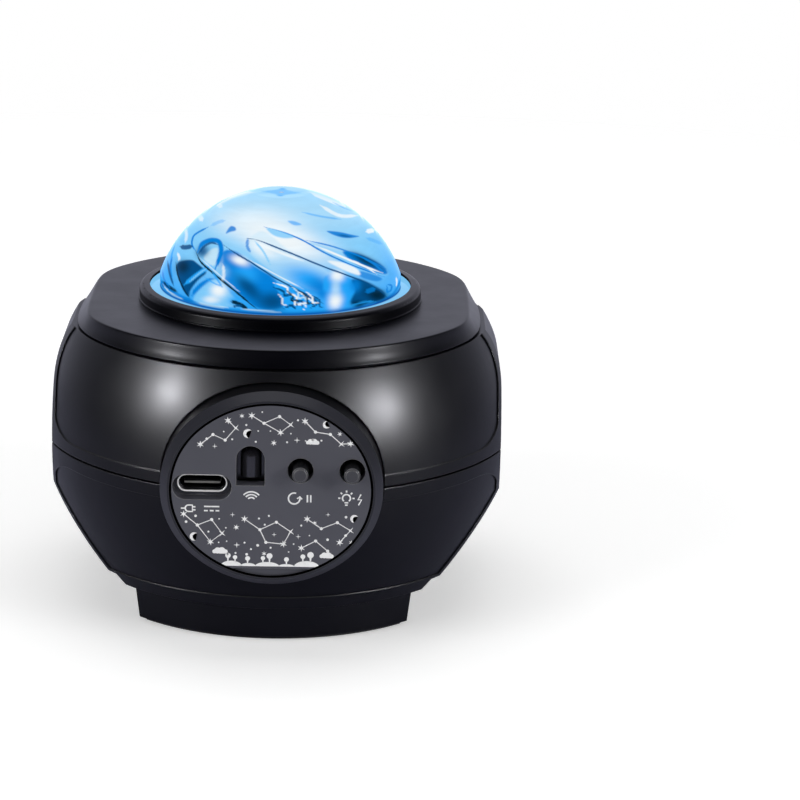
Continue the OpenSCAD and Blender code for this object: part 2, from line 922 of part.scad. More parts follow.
module ir_receiver() {
    body_front = plate_back - 0.2;
    middle = ir_pos.y + ir_h / 2;
    color("#08080a") on_front() {
        translate([ir_pos.x, middle, body_front - ir_body_t / 2]) {
            cube([ir_body_w, ir_body_h, ir_body_t], center = true);
        }
        // Rounded lens column
        translate([ir_pos.x, 0, body_front - 0.3]) {
            intersection() {
                union() {
                    translate([0, ir_pos.y + 1, 0]) rotate([-90, 0, 0]) {
                        cylinder(r = ir_lens_r, h = ir_h - ir_w / 2 - 1);
                    }
                    translate([0, ir_pos.y + ir_h - ir_w / 2, 0]) sphere(r = ir_lens_r);
                }
                translate([-ir_w / 2, 0, 0]) cube([ir_w, 2 * ir_h, ir_w]);
            }
        }
        for (leg = [-1, 0, 1]) {
            translate([ir_pos.x + leg * 2 - 0.25, middle - 0.25, drum_back]) {
                cube([0.5, 0.5, body_front - ir_body_t / 2 - drum_back]);
            }
        }
    }
}

// Screws through a board into the bosses of a drum
module drum_screws() {
    for (boss = drum_bosses) {
        translate([boss.x, boss.y, board_back]) screw(small_screw_r, small_head_r, small_head_h, drum_screw_len);
    }
}

module panel_screws() {
    color("silver") on_front() drum_screws();
}

// --- Speaker ---

module speaker_bezel() {
    color("#2c2d31") on_back() oval_bezel();
}

module speaker_grille() {
    rows = floor(panel_half_h / (grille_pitch * sin(60)));
    columns = floor(panel_half_w / grille_pitch);
    limit = panel_half_w - plate_inset - 2.4;
    color("#3a3b41") on_back() difference() {
        face_plate();
        for (row = [-rows : rows]) {
            for (column = [-columns : columns]) {
                x = (column + (abs(row) % 2) / 2) * grille_pitch;
                y = row * grille_pitch * sin(60);
                if (norm([x, y * panel_w / panel_h]) < limit) {
                    translate([x, y, plate_back - over]) cylinder(r = grille_hole_r, h = 10, $fn = 16);
                }
            }
        }
        oval_disc(plate_back - over, plate_back + 1.2, plate_inset + 1.4);
    }
}

module speaker_mount() {
    color("#202124") on_back() difference() {
        oval_disc(board_back, drum_back, board_inset);
        translate([0, 0, board_back - over]) cylinder(r = speaker_r - 1.7, h = board_t + 2 * over);
        for (boss = drum_bosses) {
            translate([boss.x, boss.y, board_back - over]) {
                cylinder(r = small_screw_r + gap, h = board_t + 2 * over, $fn = 32);
            }
        }
    }
}

module speaker_basket() {
    rim_d = board_back - speaker_rim_t;
    back_d = board_back - basket_depth;
    color("gray") on_back() difference() {
        rotate_extrude() polygon([
            [speaker_r - 2, board_back], [speaker_r, board_back], [speaker_r, rim_d],
            [speaker_r - 1.4, rim_d], [magnet_r, back_d], [5, back_d], [5, back_d + 1],
            [magnet_r - 0.5, back_d + 1], [speaker_r - 2, rim_d],
        ]);
        for (turn = [45 : 90 : 315]) {
            rotate([0, 0, turn]) translate([8, -3, back_d + 1.4]) cube([4.6, 6, 3.6]);
        }
    }
}

module speaker_magnet() {
    back_d = board_back - basket_depth;
    color("#55565a") on_back() {
        translate([0, 0, back_d - magnet_h]) cylinder(r = magnet_r, h = magnet_h - 1);
        translate([0, 0, back_d - 1]) cylinder(r = magnet_r - 0.6, h = 1);
        translate([0, 0, back_d - 0.5]) cylinder(r = 3.4, h = 2.4);
    }
}

module speaker_cone() {
    front_d = board_back - 0.1;
    deep_d = board_back - 4.2;
    edge_r = speaker_r - 2.1;
    color("#2b2b2b") on_back() {
        rotate_extrude() difference() {
            polygon([
                [edge_r, front_d - 0.5], [edge_r, front_d], [edge_r - 0.4, front_d],
                [edge_r - 2, front_d - 0.3], [4.4, deep_d + 0.5], [4.4, deep_d - 0.4],
                [edge_r - 2, front_d - 0.9],
            ]);
        }
        difference() {
            translate([0, 0, deep_d - 3]) sphere(r = 5.6);
            translate([0, 0, deep_d - 3]) sphere(r = 5);
            translate([-6, -6, deep_d - 10]) cube([12, 12, 10]);
        }
    }
}

module speaker_screws() {
    color("silver") on_back() drum_screws();
}

// --- Main board ---

module main_board() {
    color("darkgreen") difference() {
        translate([-main_board_x / 2, -main_board_y / 2, main_board_z]) {
            cube([main_board_x, main_board_y, board_t]);
        }
        corners(main_hole_x, main_hole_y) translate([0, 0, main_board_z - over]) {
            cylinder(r = small_screw_r + gap, h = board_t + 2 * over, $fn = 32);
        }
    }
}

// Processor, audio amplifier, sockets and capacitors, as separate solids
module board_parts() {
    top = main_board_z + board_t;
    color("#303030") translate([0, 0, top]) {
        translate([-11, -4, 0]) cube([7, 7, 1.2]);
        translate([3, 4, 0]) cube([5, 4, 1.2]);
        for (x = [-16, -8, 0, 8]) {
            translate([x, 10.5, 0]) cube([5.6, 4, 5]);
        }
        for (x = [13, 18]) {
            translate([x, -8, 0]) cylinder(r = 2.2, h = 6.6);
        }
        translate([-14, -13, 0]) cube([6, 3.4, 3.2]);
    }
}

module board_screws() {
    color("silver") corners(main_hole_x, main_hole_y) {
        translate([0, 0, main_board_z + board_t]) rotate([180, 0, 0]) {
            screw(small_screw_r, small_head_r, small_head_h, 4.2);
        }
    }
}

// --- Lens deck and light source ---

module lens_deck() {
    clamp_boss_r = 2.4;
    color("#d9d9d6") difference() {
        union() {
            intersection() {
                translate([0, 0, deck_z]) cylinder(r = deck_r, h = deck_t);
                translate([-deck_half_x, -deck_half_y, deck_z]) {
                    cube([2 * deck_half_x, 2 * deck_half_y, deck_t]);
                }
            }
            translate([0, 0, deck_z]) cylinder(r = hub_shoulder_r, h = deck_t + hub_shoulder_h);
            translate([0, 0, deck_z]) cylinder(r = hub_r, h = clip_z - deck_z);
            translate([0, 0, deck_z]) cylinder(r = clip_seat_r, h = clip_z + clip_h - deck_z);
            for (side = [-1, 1]) {
                translate([motor_x, side * clamp_screw_y, deck_z - 4]) {
                    cylinder(r = clamp_boss_r, h = 4 + deck_t / 2);
                }
            }
        }
        translate([0, 0, deck_z - over]) cylinder(r = hub_inner_r, h = 40);
        translate([motor_x, 0, deck_z]) {
            cube([gearbox_x + 2 * gap, gearbox_y + 2 * gap, 10], center = true);
            for (side = [-1, 1]) {
                translate([0, side * clamp_screw_y, -3]) {
                    cylinder(r = small_screw_r + 0.02, h = 10, $fn = 32);
                }
            }
        }
        corners(deck_boss_x, deck_boss_y) translate([0, 0, deck_z - over]) {
            cylinder(r = screw_r + gap, h = deck_t + 2 * over);
        }
        for (side = [-1, 1]) {
            translate([0, side * sink_screw_ring, deck_z - over]) {
                cylinder(r = small_screw_r + 0.02, h = 6 + over, $fn = 32);
            }
        }
    }
}

module deck_screws() {
    color("silver") corners(deck_boss_x, deck_boss_y) translate([0, 0, deck_z]) {
        screw(screw_r, screw_head_r, screw_head_h, 8);
    }
}

module heat_sink() {
    fin_z = deck_z - sink_t - sink_fin_h;
    color("silver") difference() {
        union() {
            translate([0, 0, deck_z - sink_t]) cylinder(r = sink_r, h = sink_t);
            intersection() {
                translate([0, 0, fin_z]) cylinder(r = sink_r - 4, h = sink_fin_h + over);
                union() {
                    for (k = [-3 : 3]) {
                        translate([-sink_r, k * sink_fin_pitch - sink_fin_t / 2, fin_z]) {
                            cube([2 * sink_r, sink_fin_t, sink_fin_h + over]);
                        }
                    }
                    translate([0, 0, fin_z]) cylinder(r = sink_core_r, h = sink_fin_h + over);
                }
            }
        }
        translate([0, 0, fin_z - over]) cylinder(r = laser_r + 0.05, h = 30);
        for (side = [-1, 1]) {
            translate([0, side * sink_screw_ring, deck_z - sink_t - over]) {
                cylinder(r = small_screw_r + gap, h = sink_t + 2 * over, $fn = 32);
            }
        }
    }
}

module heat_sink_screws() {
    color("silver") for (side = [-1, 1]) {
        translate([0, side * sink_screw_ring, deck_z - sink_t]) {
            screw(small_screw_r, small_head_r, small_head_h, 8);
        }
    }
}

module led_board() {
    color("white") difference() {
        translate([0, 0, deck_z]) cylinder(r = led_board_r, h = led_board_t);
        translate([0, 0, deck_z - over]) cylinder(r = laser_r + gap, h = 6);
    }
}

// One lamp of each colour, each a base with a small clear dome
module led_emitters() {
    colours = ["red", "lime", "blue", "white"];
    for (k = [0 : led_count - 1]) {
        color(colours[k % 4]) rotate([0, 0, 45 + 360 * k / led_count]) {
            translate([led_ring, 0, deck_z + led_board_t]) {
                translate([0, 0, 0.45]) cube([led_size, led_size, 0.9], center = true);
                intersection() {
                    translate([0, 0, 0.5]) sphere(r = led_size / 2 - 0.3);
                    slab(0.5, 3);
                }
            }
        }
    }
}

module light_cup() {
    bottom = deck_z + led_board_t;
    top = clip_z + clip_h - 0.2;
    wide_r = hub_inner_r - gap;
    narrow_r = led_board_r - 0.3;
    color("#e8e8ea") difference() {
        translate([0, 0, bottom]) cylinder(r1 = narrow_r, r2 = wide_r, h = top - bottom);
        translate([0, 0, bottom - 0.01]) {
            cylinder(r1 = narrow_r - cup_t, r2 = wide_r - cup_t, h = top - bottom + 0.02);
        }
    }
}

module laser_module() {
    color("goldenrod") {
        translate([0, 0, laser_top - laser_len]) cylinder(r = laser_r, h = laser_len);
        translate([0, 0, laser_top - 0.5]) cylinder(r = laser_nozzle_r, h = 1.5);
    }
}

module star_grating() {
    color("plum") translate([0, 0, laser_top + 1]) cylinder(r = laser_r + 0.2, h = 0.8);
}

// --- Wave drive ---

module lens_gear() {
    bore_r = hub_r + running_play;
    color("#efefec") difference() {
        union() {
            translate([0, 0, gear_bottom]) cylinder(r = sleeve_r, h = gear_top - gear_bottom);
            translate([0, 0, gear_z]) linear_extrude(height = gear_w) gear_outline(lens_teeth, backlash);
            translate([0, 0, gear_top - lens_seat_t]) cylinder(r = lens_seat_r, h = lens_seat_t);
        }
        translate([0, 0, gear_bottom - over]) cylinder(r = bore_r, h = 20);
        lens_peg_places() translate([0, 0, gear_top - lens_seat_t - over]) {
            cylinder(r = lens_peg_r + 0.02, h = 5, $fn = 24);
        }
    }
}

// Places children at the pegs between the wave lens and its gear
module lens_peg_places() {
    for (turn = [0 : 60 : 300]) {
        rotate([0, 0, turn]) translate([lens_peg_ring, 0, 0]) children();
    }
}

module wave_lens() {
    color("skyblue") difference() {
        union() {
            lens_peg_places() translate([0, 0, gear_top - lens_peg_h]) {
                cylinder(r = lens_peg_r, h = lens_peg_h + wave_flange_t / 2, $fn = 24);
            }
            translate([0, 0, gear_top]) cylinder(r = wave_r, h = wave_z - gear_top);
            intersection() {
                translate([0, 0, wave_z]) sphere(r = wave_r, $fn = 180);
                slab(wave_z, reach);
            }
        }
        translate([0, 0, gear_top + wave_flange_t]) cylinder(r = wave_r - wave_t, h = wave_z - gear_top - wave_flange_t);
        intersection() {
            translate([0, 0, wave_z]) sphere(r = wave_r - wave_t);
            slab(wave_z - 0.01, reach);
        }
        translate([0, 0, gear_top - over]) cylinder(r = wave_inner_r, h = over + wave_flange_t + over);
        // Slanting flutes that ripple the light
        translate([0, 0, wave_z]) for (k = [0 : ripple_count - 1]) {
            rotate([0, 0, 360 * k / ripple_count]) ripple();
        }
    }
}

// One flute of the wave lens, as a leaning cutter that grazes the dome
module ripple() {
    rotate([0, -ripple_rise, 0]) translate([wave_r + ripple_r - ripple_depth, 0, 0]) {
        rotate([ripple_tilt, 0, 0]) cylinder(r = ripple_r, h = 80, center = true);
    }
}

module hub_clip() {
    color("#c9c9c4") translate([0, 0, clip_z]) difference() {
        cylinder(r = hub_shoulder_r, h = clip_h);
        translate([0, 0, -over]) cylinder(r = clip_seat_r + running_play, h = clip_h + 2 * over);
        translate([hub_r, 0, 0]) cube([2 * hub_r, 3, 10], center = true);
    }
}

module motor_gearbox() {
    color("#b9a05a") difference() {
        translate([motor_x, 0, gearbox_top - gearbox_h / 2]) {
            cube([gearbox_x, gearbox_y, gearbox_h], center = true);
        }
        translate([motor_x, 0, gearbox_top - 3.2]) cylinder(r = shaft_r + running_play, h = 10);
    }
}

module motor_can() {
    color("silver") intersection() {
        translate([motor_x, 0, gearbox_top - gearbox_h - can_len]) {
            cylinder(r = gearbox_y / 2, h = can_len);
        }
        translate([motor_x, 0, 0]) cube([gearbox_x, gearbox_y, reach], center = true);
    }
}

module motor_shaft() {
    color("silver") translate([motor_x, 0, gearbox_top - 3]) {
        cylinder(r = shaft_r, h = gear_z + gear_w + 0.8 - gearbox_top + 3);
    }
}

module motor_pinion() {
    color("#efefec") translate([motor_x, 0, gear_z]) difference() {
        union() {
            linear_extrude(height = gear_w) gear_outline(pinion_teeth, backlash);
            cylinder(r = 3, h = gear_w + 0.6);
        }
        translate([0, 0, -over]) cylinder(r = shaft_r + 0.02, h = gear_w + 2 * over);
    }
}

// Strap that holds the gearbox down on the deck
module motor_clamp() {
    side_y = gearbox_y / 2 + gap;
    color("silver") translate([motor_x, 0, 0]) difference() {
        union() {
            translate([-gearbox_x / 2, -side_y - clamp_t, gearbox_top]) {
                cube([gearbox_x, 2 * (side_y + clamp_t), clamp_t]);
            }
            for (side = [-1, 1]) {
                translate([-gearbox_x / 2, side * (side_y + clamp_t / 2) - clamp_t / 2, deck_top]) {
                    cube([gearbox_x, clamp_t, gearbox_top - deck_top + clamp_t]);
                }
                translate([-3, side * (side_y + clamp_ear / 2) - clamp_ear / 2, deck_top]) {
                    cube([6, clamp_ear, clamp_t]);
                }
            }
        }
        cylinder(r = shaft_r + 1, h = reach);
        for (side = [-1, 1]) {
            translate([0, side * clamp_screw_y, deck_top - over]) {
                cylinder(r = small_screw_r + gap, h = 4, $fn = 32);
            }
        }
    }
}

module clamp_screws() {
    color("silver") for (side = [-1, 1]) {
        translate([motor_x, side * clamp_screw_y, deck_top + clamp_t]) rotate([180, 0, 0]) {
            screw(small_screw_r, small_head_r, small_head_h, 4.6);
        }
    }
}

base_pad();
pedestal();
pedestal_screws();
lower_shell();
upper_shell();
shell_screws();
top_cover();
dome_collar();
dome_lens();
panel_bezel();
panel_plate();
control_board();
switch_bodies();
button_motor();
button_led();
usb_shell();
usb_tongue();
ir_receiver();
panel_screws();
speaker_bezel();
speaker_grille();
speaker_mount();
speaker_basket();
speaker_magnet();
speaker_cone();
speaker_screws();
main_board();
board_parts();
board_screws();
lens_deck();
deck_screws();
heat_sink();
heat_sink_screws();
led_board();
led_emitters();
light_cup();
laser_module();
star_grating();
lens_gear();
wave_lens();
hub_clip();
motor_gearbox();
motor_can();
motor_shaft();
motor_pinion();
motor_clamp();
clamp_screws();
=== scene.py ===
"""Star night light projector: finishes, dome, panel print, studio and camera."""
import logging
import math
from collections.abc import Iterable, Mapping, Sequence
from dataclasses import dataclass
from enum import Enum

import bmesh
import bpy
import numpy as np
from mathutils import Matrix, Vector


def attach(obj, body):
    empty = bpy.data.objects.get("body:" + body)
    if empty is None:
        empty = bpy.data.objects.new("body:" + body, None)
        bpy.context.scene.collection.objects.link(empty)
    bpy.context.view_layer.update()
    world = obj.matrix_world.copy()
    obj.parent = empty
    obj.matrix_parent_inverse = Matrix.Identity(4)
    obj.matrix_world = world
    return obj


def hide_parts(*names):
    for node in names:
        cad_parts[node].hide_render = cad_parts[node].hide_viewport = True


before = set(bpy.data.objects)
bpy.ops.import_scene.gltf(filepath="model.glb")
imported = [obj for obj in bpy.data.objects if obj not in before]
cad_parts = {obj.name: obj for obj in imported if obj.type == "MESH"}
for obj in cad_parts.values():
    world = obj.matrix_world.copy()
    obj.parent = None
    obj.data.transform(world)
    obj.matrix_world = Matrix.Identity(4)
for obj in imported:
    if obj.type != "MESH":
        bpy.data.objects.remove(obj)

MM = 0.001
CASING = "casing"
WAVE_ROTOR = "wave_rotor"
SHEEN_TINT = (0.96, 0.965, 1.02, 1.0)
BARE = (1.0, 1.0, 1.0, 1.0)  # no tint
NOISE_SPAN = (0.3, 0.7)  # where most values of a noise lie
TINY = 1e-6  # stands in for a divisor of zero
Triple = tuple[float, float, float]
Color = Place = Triple
Point = tuple[float, float]
Quad = tuple[float, float, float, float]
Socket = bpy.types.NodeSocket
Mesh = bpy.types.Mesh
Object = bpy.types.Object
Material = bpy.types.Material
Node = bpy.types.Node
Materials = Mapping[str, Material]
log = logging.getLogger("projector")


# ---------------------------------------------------------------- node trees
class Graph:
    """Adds and links the nodes of one shader, world or geometry tree."""

    def __init__(self, tree: bpy.types.NodeTree) -> None:
        """Takes the tree that the nodes go into."""
        self.tree = tree

    @classmethod
    def fresh(cls, owner: Material | bpy.types.World) -> "Graph":
        """Empties the tree of a material or a world, and takes it.

        Args:
            owner: the material or the world.

        Returns:
            The tree, ready for new nodes.
        """
        owner.use_nodes = True
        owner.node_tree.nodes.clear()
        return cls(owner.node_tree)

    def add(self, kind: str, inputs: Mapping[str | int, object] | None = None, **props: object) -> Node:
        """Adds one node.

        Args:
            kind: the node's type name.
            inputs: socket name or number to a value or to an output socket.
            props: properties set before the inputs.

        Returns:
            The new node.
        """
        node = self.tree.nodes.new(kind)
        for key, value in props.items():
            setattr(node, key, value)
        for key, value in (inputs or {}).items():
            if isinstance(value, Socket):
                self.tree.links.new(value, node.inputs[key])
            else:
                node.inputs[key].default_value = value
        return node

    def out(self, kind: str, inputs: Mapping[str | int, object] | None = None, **props: object) -> Socket:
        """Adds one node, as add does, and returns its first output."""
        return self.add(kind, inputs, **props).outputs[0]

    def math(self, operation: str, *values: object) -> Socket:
        """Adds a Math node and returns its output."""
        return self.out("ShaderNodeMath", dict(enumerate(values)), operation=operation)

    def plus(self, first: object, second: object) -> Socket:
        """Adds two values."""
        return self.math("ADD", first, second)

    def minus(self, first: object, second: object) -> Socket:
        """Takes the second value from the first."""
        return self.math("SUBTRACT", first, second)

    def times(self, first: object, second: object) -> Socket:
        """Multiplies two values."""
        return self.math("MULTIPLY", first, second)

    def vector(self, operation: str, *values: object, out: str = "Vector") -> Socket:
        """Adds a Vector Math node and returns the named output."""
        return self.add("ShaderNodeVectorMath", dict(enumerate(values)), operation=operation).outputs[out]

    def scaled(self, color: object, factor: object) -> Socket:
        """Scales a colour."""
        return self.out("ShaderNodeVectorMath", {0: color, "Scale": factor}, operation="SCALE")

    def axis(self, vector: object, name: str) -> Socket:
        """Takes one axis of a vector."""
        return self.add("ShaderNodeSeparateXYZ", {0: vector}).outputs[name]

    def xyz(self, x: object = 0.0, y: object = 0.0, z: object = 0.0) -> Socket:
        """Makes a vector of three values."""
        return self.out("ShaderNodeCombineXYZ", {0: x, 1: y, 2: z})

    def seen(self, ray: Node) -> Socket:
        """Says whether the camera sees the place, straight or through something clear."""
        return self.math("MAXIMUM", ray.outputs["Is Camera Ray"], ray.outputs["Is Transmission Ray"])

    def remap(self, value: object, low: float, high: float, to_low: float, to_high: float) -> Socket:
        """Maps a value smoothly from one range to another.

        Args:
            value: the value or socket.
            low, high: the range it comes from.
            to_low, to_high: the range it goes to.

        Returns:
            The mapped value's socket.
        """
        ends = {"Value": value, "From Min": low, "From Max": high, "To Min": to_low, "To Max": to_high}
        return self.add("ShaderNodeMapRange", ends, interpolation_type="SMOOTHSTEP").outputs["Result"]

    def mix(self, factor: object, first: object, second: object) -> Socket:
        """Mixes two colours and returns the result."""
        return self.add("ShaderNodeMix", {0: factor, 6: first, 7: second}, data_type="RGBA").outputs[2]

    def noise(self, vector: object, scale: float, detail: float = 2.0, rough: float = 0.5) -> Socket:
        """Adds a Noise texture and returns its value, which is about 0.5 on average."""
        sizes = {"Vector": vector, "Scale": scale, "Detail": detail, "Roughness": rough}
        return self.add("ShaderNodeTexNoise", sizes).outputs["Fac"]

    def drift(self, vector: object, scale: float, detail: float, low: float, high: float, rough: float = 0.5) -> Socket:
        """Wanders over a surface between two values.

        Args:
            vector: the place.
            scale, detail, rough: the noise's scale, octaves and roughness.
            low, high: the two values.

        Returns:
            The value's socket.
        """
        return self.remap(self.noise(vector, scale, detail, rough), *NOISE_SPAN, low, high)


def rgba(color: Sequence[float]) -> Quad:
    """Adds full alpha to a colour."""
    return (color[0], color[1], color[2], 1.0)


# ------------------------------------------------------------------ finishes
@dataclass(frozen=True)
class Finish:
    """A surface finish. Lengths are in millimetres.

    Attributes:
        slot: the material slot it is for.
        color: its colour, linear.
        roughness: its mean roughness.
        specular: strength of its reflection, 0.5 for common plastic.
        grain: height of its fine surface grain.
        grain_size: size of that grain.
        mottle: how far its colour drifts over the piece.
        edge: radius to which hard edges are softened.
        rim: how many times lighter its colour is on hard edges, a painted highlight along them.
    """

    slot: str
    color: Color
    roughness: float = 0.4
    specular: float = 0.5
    grain: float = 0.01
    grain_size: float = 0.25
    mottle: float = 0.08
    edge: float = 0.15
    rim: float = 1.0

    MOTTLE_SCALE = 45.0  # of the drift in colour, per metre
    HANDLING_SCALE = 120.0  # of the marks in the gloss
    HANDLING = 0.06  # how far they change it
    GRAIN_FIT = 0.4  # noise scale for a grain of one metre
    # These also set where the painted edge highlight of rim fades in.
    HIGHLIGHT_EDGE_TURN = (0.9, 0.985)  # cosines of how far a softened edge turns the surface

    def material(self) -> Material:
        """Builds the material of this finish.

        Returns:
            The material.
        """
        mat = bpy.data.materials.new("finish_" + self.slot)
        mat.diffuse_color = rgba(self.color)
        g = Graph.fresh(mat)
        place = g.add("ShaderNodeTexCoord").outputs["Object"]
        bsdf = g.add("ShaderNodeBsdfPrincipled", {"Specular IOR Level": self.specular, "Specular Tint": SHEEN_TINT})
        g.add("ShaderNodeOutputMaterial", {"Surface": self.surface(g, bsdf, place)})
        return mat

    def surface(self, g: Graph, bsdf: Node, place: Socket) -> Socket:
        """Fills in the shader.

        Args:
            g: the material's tree.
            bsdf: its main shader.
            place: the object coordinates, in metres.

        Returns:
            The shader socket for the output.
        """
        soft = g.out("ShaderNodeBevel", {"Radius": self.edge * MM}, samples=6)
        tint = self.tint(g, place)
        # Painted highlight: hard edges get a lighter colour, standing in for the thin lines of light they catch.
        if self.rim > 1.0:
            flat = g.add("ShaderNodeNewGeometry").outputs["True Normal"]
            shine = g.remap(g.vector("DOT_PRODUCT", soft, flat, out="Value"), *self.HIGHLIGHT_EDGE_TURN, 1.0, 0.0)
            pale = rgba([self.rim * self.color[0] / part for part in self.color])
            tint = g.vector("MULTIPLY", tint, g.mix(shine, BARE, pale))
        g.tree.links.new(tint, bsdf.inputs["Base Color"])
        g.tree.links.new(self.gloss(g, place), bsdf.inputs["Roughness"])
        g.tree.links.new(self.relief(g, place, soft), bsdf.inputs["Normal"])
        return bsdf.outputs[0]

    def glow(self, g: Graph, bsdf: Node, light: Socket, dim: Socket, strength: float) -> None:
        """Makes the shader give light.

        Args:
            g: the material's tree.
            bsdf: its main shader.
            light: the light's colour.
            dim: the colour that other light shows.
            strength: the light's strength.
        """
        bsdf.inputs["Roughness"].default_value = self.roughness
        bsdf.inputs["Emission Strength"].default_value = strength
        g.tree.links.new(dim, bsdf.inputs["Base Color"])
        g.tree.links.new(light, bsdf.inputs["Emission Color"])

    def tint(self, g: Graph, place: Socket) -> Socket:
        """Colour with a slow drift."""
        return g.scaled(self.color, g.drift(place, self.MOTTLE_SCALE, 3.0, 1.0 - self.mottle, 1.0 + self.mottle))

    def gloss(self, g: Graph, place: Socket) -> Socket:
        """Roughness with slight handling marks."""
        low, high = self.roughness * (1.0 - self.HANDLING), self.roughness * (1.0 + self.HANDLING)
        return g.drift(place, self.HANDLING_SCALE, 4.0, low, high, rough=0.6)

    def relief(self, g: Graph, place: Socket, soft: Socket) -> Socket:
        """Fine moulded grain on softened edges.

        Args:
            g: the material's tree.
            place: the object coordinates.
            soft: the softened normal.

        Returns:
            The normal's socket.
        """
        height = g.noise(place, self.GRAIN_FIT / (self.grain_size * MM))
        grain = {"Height": height, "Strength": 1.0, "Distance": self.grain * MM, "Normal": soft}
        return g.out("ShaderNodeBump", grain)


@dataclass(frozen=True)
class Fading(Finish):
    """A finish that turns to another colour further in from the panel's face: painted shade inside the recesses of the
    inlet and the receiver, and a darker back on the bezel and the keys.

    Attributes:
        inner: the colour further in, linear.
        start, end: distances from the middle of the body between which it turns from inner to its own colour.
    """

    inner: Color = (0.0006, 0.0006, 0.0014)
    start: float = 0.0
    end: float = 1.0

    def tint(self, g: Graph, place: Socket) -> Socket:
        """Colour by the distance from the middle, darker further in; on the inlet and the receiver that is painted
        shade.
        """
        share = g.remap(g.math("ABSOLUTE", g.axis(place, "Y")), self.start * MM, self.end * MM, 0.0, 1.0)
        return g.mix(share, rgba(self.inner), super().tint(g, place))


@dataclass(frozen=True)
class Tongue(Finish):
    """Black plastic with the edge of a metal plate in its middle.

    Attributes:
        level: height of the plate's middle.
        thick: thickness of the plate.
        plate: its colour, linear.
    """

    level: float = 33.9
    thick: float = 0.34
    plate: Color = (0.16, 0.16, 0.15)

    BORDER = (0.4, 0.6)  # where the plate ends, in shares of its thickness

    def tint(self, g: Graph, place: Socket) -> Socket:
        """Colour by the distance from the plate.

        Args:
            g: the material's tree.
            place: the object coordinates.

        Returns:
            The colour's socket.
        """
        off = g.math("ABSOLUTE", g.minus(g.axis(place, "Z"), self.level * MM))
        share = g.remap(off, *(self.thick * part * MM for part in self.BORDER), 1.0, 0.0)
        return g.mix(share, super().tint(g, place), rgba(self.plate))


@dataclass(frozen=True)
class Metal(Finish):
    """A metal with brushing or turning marks along one axis.

    Attributes:
        brush: how much longer the marks are along Z than across it.
    """

    brush: float = 12.0

    MARK_SCALE = 2500.0  # of the brushing across Z, per metre
    MARKS = 0.25  # how far it changes the roughness

    def surface(self, g: Graph, bsdf: Node, place: Socket) -> Socket:
        """Fills in the shader, as Finish does, as a metal."""
        bsdf.inputs["Metallic"].default_value = 1.0
        return super().surface(g, bsdf, place)

    def gloss(self, g: Graph, place: Socket) -> Socket:
        """Roughness that varies across the brushing.

        Args:
            g: the material's tree.
            place: the object coordinates.

        Returns:
            The roughness's socket.
        """
        lay = g.out("ShaderNodeMapping", {"Vector": place, "Scale": (1.0, 1.0, 1.0 / self.brush)})
        low, high = self.roughness * (1.0 - self.MARKS), self.roughness * (1.0 + self.MARKS)
        return g.drift(lay, self.MARK_SCALE, 3.0, low, high)


@dataclass(frozen=True)
class Board(Finish):
    """A circuit board's solder mask, with tracks and vias showing through.

    Attributes:
        track: colour of the mask over copper.
        pitch: spacing of the tracks.
        loose: how far they leave a plain grid, from 0 to 1.
        border: where a track ends, in shares of the pitch.
    """

    track: Color = (0.03, 0.24, 0.1)
    pitch: float = 1.6
    loose: float = 0.55
    border: Point = (0.42, 0.5)

    def tint(self, g: Graph, place: Socket) -> Socket:
        """Mask colour, lighter where there is copper below.

        Args:
            g: the material's tree.
            place: the object coordinates.

        Returns:
            The colour's socket.
        """
        grid = {"Vector": place, "Scale": 1.0 / (self.pitch * MM), "Randomness": self.loose}
        cell = g.add("ShaderNodeTexVoronoi", grid, distance="MANHATTAN", feature="F1")
        copper = g.remap(cell.outputs["Distance"], *self.border, 1.0, 0.0)
        return g.mix(copper, rgba(self.color), rgba(self.track))


@dataclass(frozen=True)
class Clear(Finish):
    """A clear resin that lets light straight through, with reflections by angle.

    Attributes:
        veil: share of the surface that shows its own colour.
        edge_veil: how much more of it does so at a flat angle.
        shine: how much of that colour is given as light.
    """

    veil: float = 0.25
    edge_veil: float = 0.5
    shine: float = 0.0

    EDGE_BLEND = 0.35  # how early the flat angle sets in
    EDGE_SPAN = (0.1, 0.95)  # its values between which the veil grows

    def surface(self, g: Graph, bsdf: Node, place: Socket) -> Socket:
        """Fills in the shader, as Finish does, with a share that is see-through.

        Args:
            g, bsdf, place: as for Finish.

        Returns:
            The shader socket for the output.
        """
        body = super().surface(g, bsdf, place)
        bsdf.inputs["Emission Strength"].default_value = self.shine
        g.tree.links.new(self.tint(g, place), bsdf.inputs["Emission Color"])
        through = g.out("ShaderNodeBsdfTransparent", {"Color": rgba([0.5 + 0.5 * c for c in self.color])})
        edge = g.add("ShaderNodeLayerWeight", {"Blend": self.EDGE_BLEND}).outputs["Facing"]
        cover = g.remap(edge, *self.EDGE_SPAN, self.veil, min(1.0, self.veil + self.edge_veil))
        return g.out("ShaderNodeMixShader", {0: cover, 1: through, 2: body})


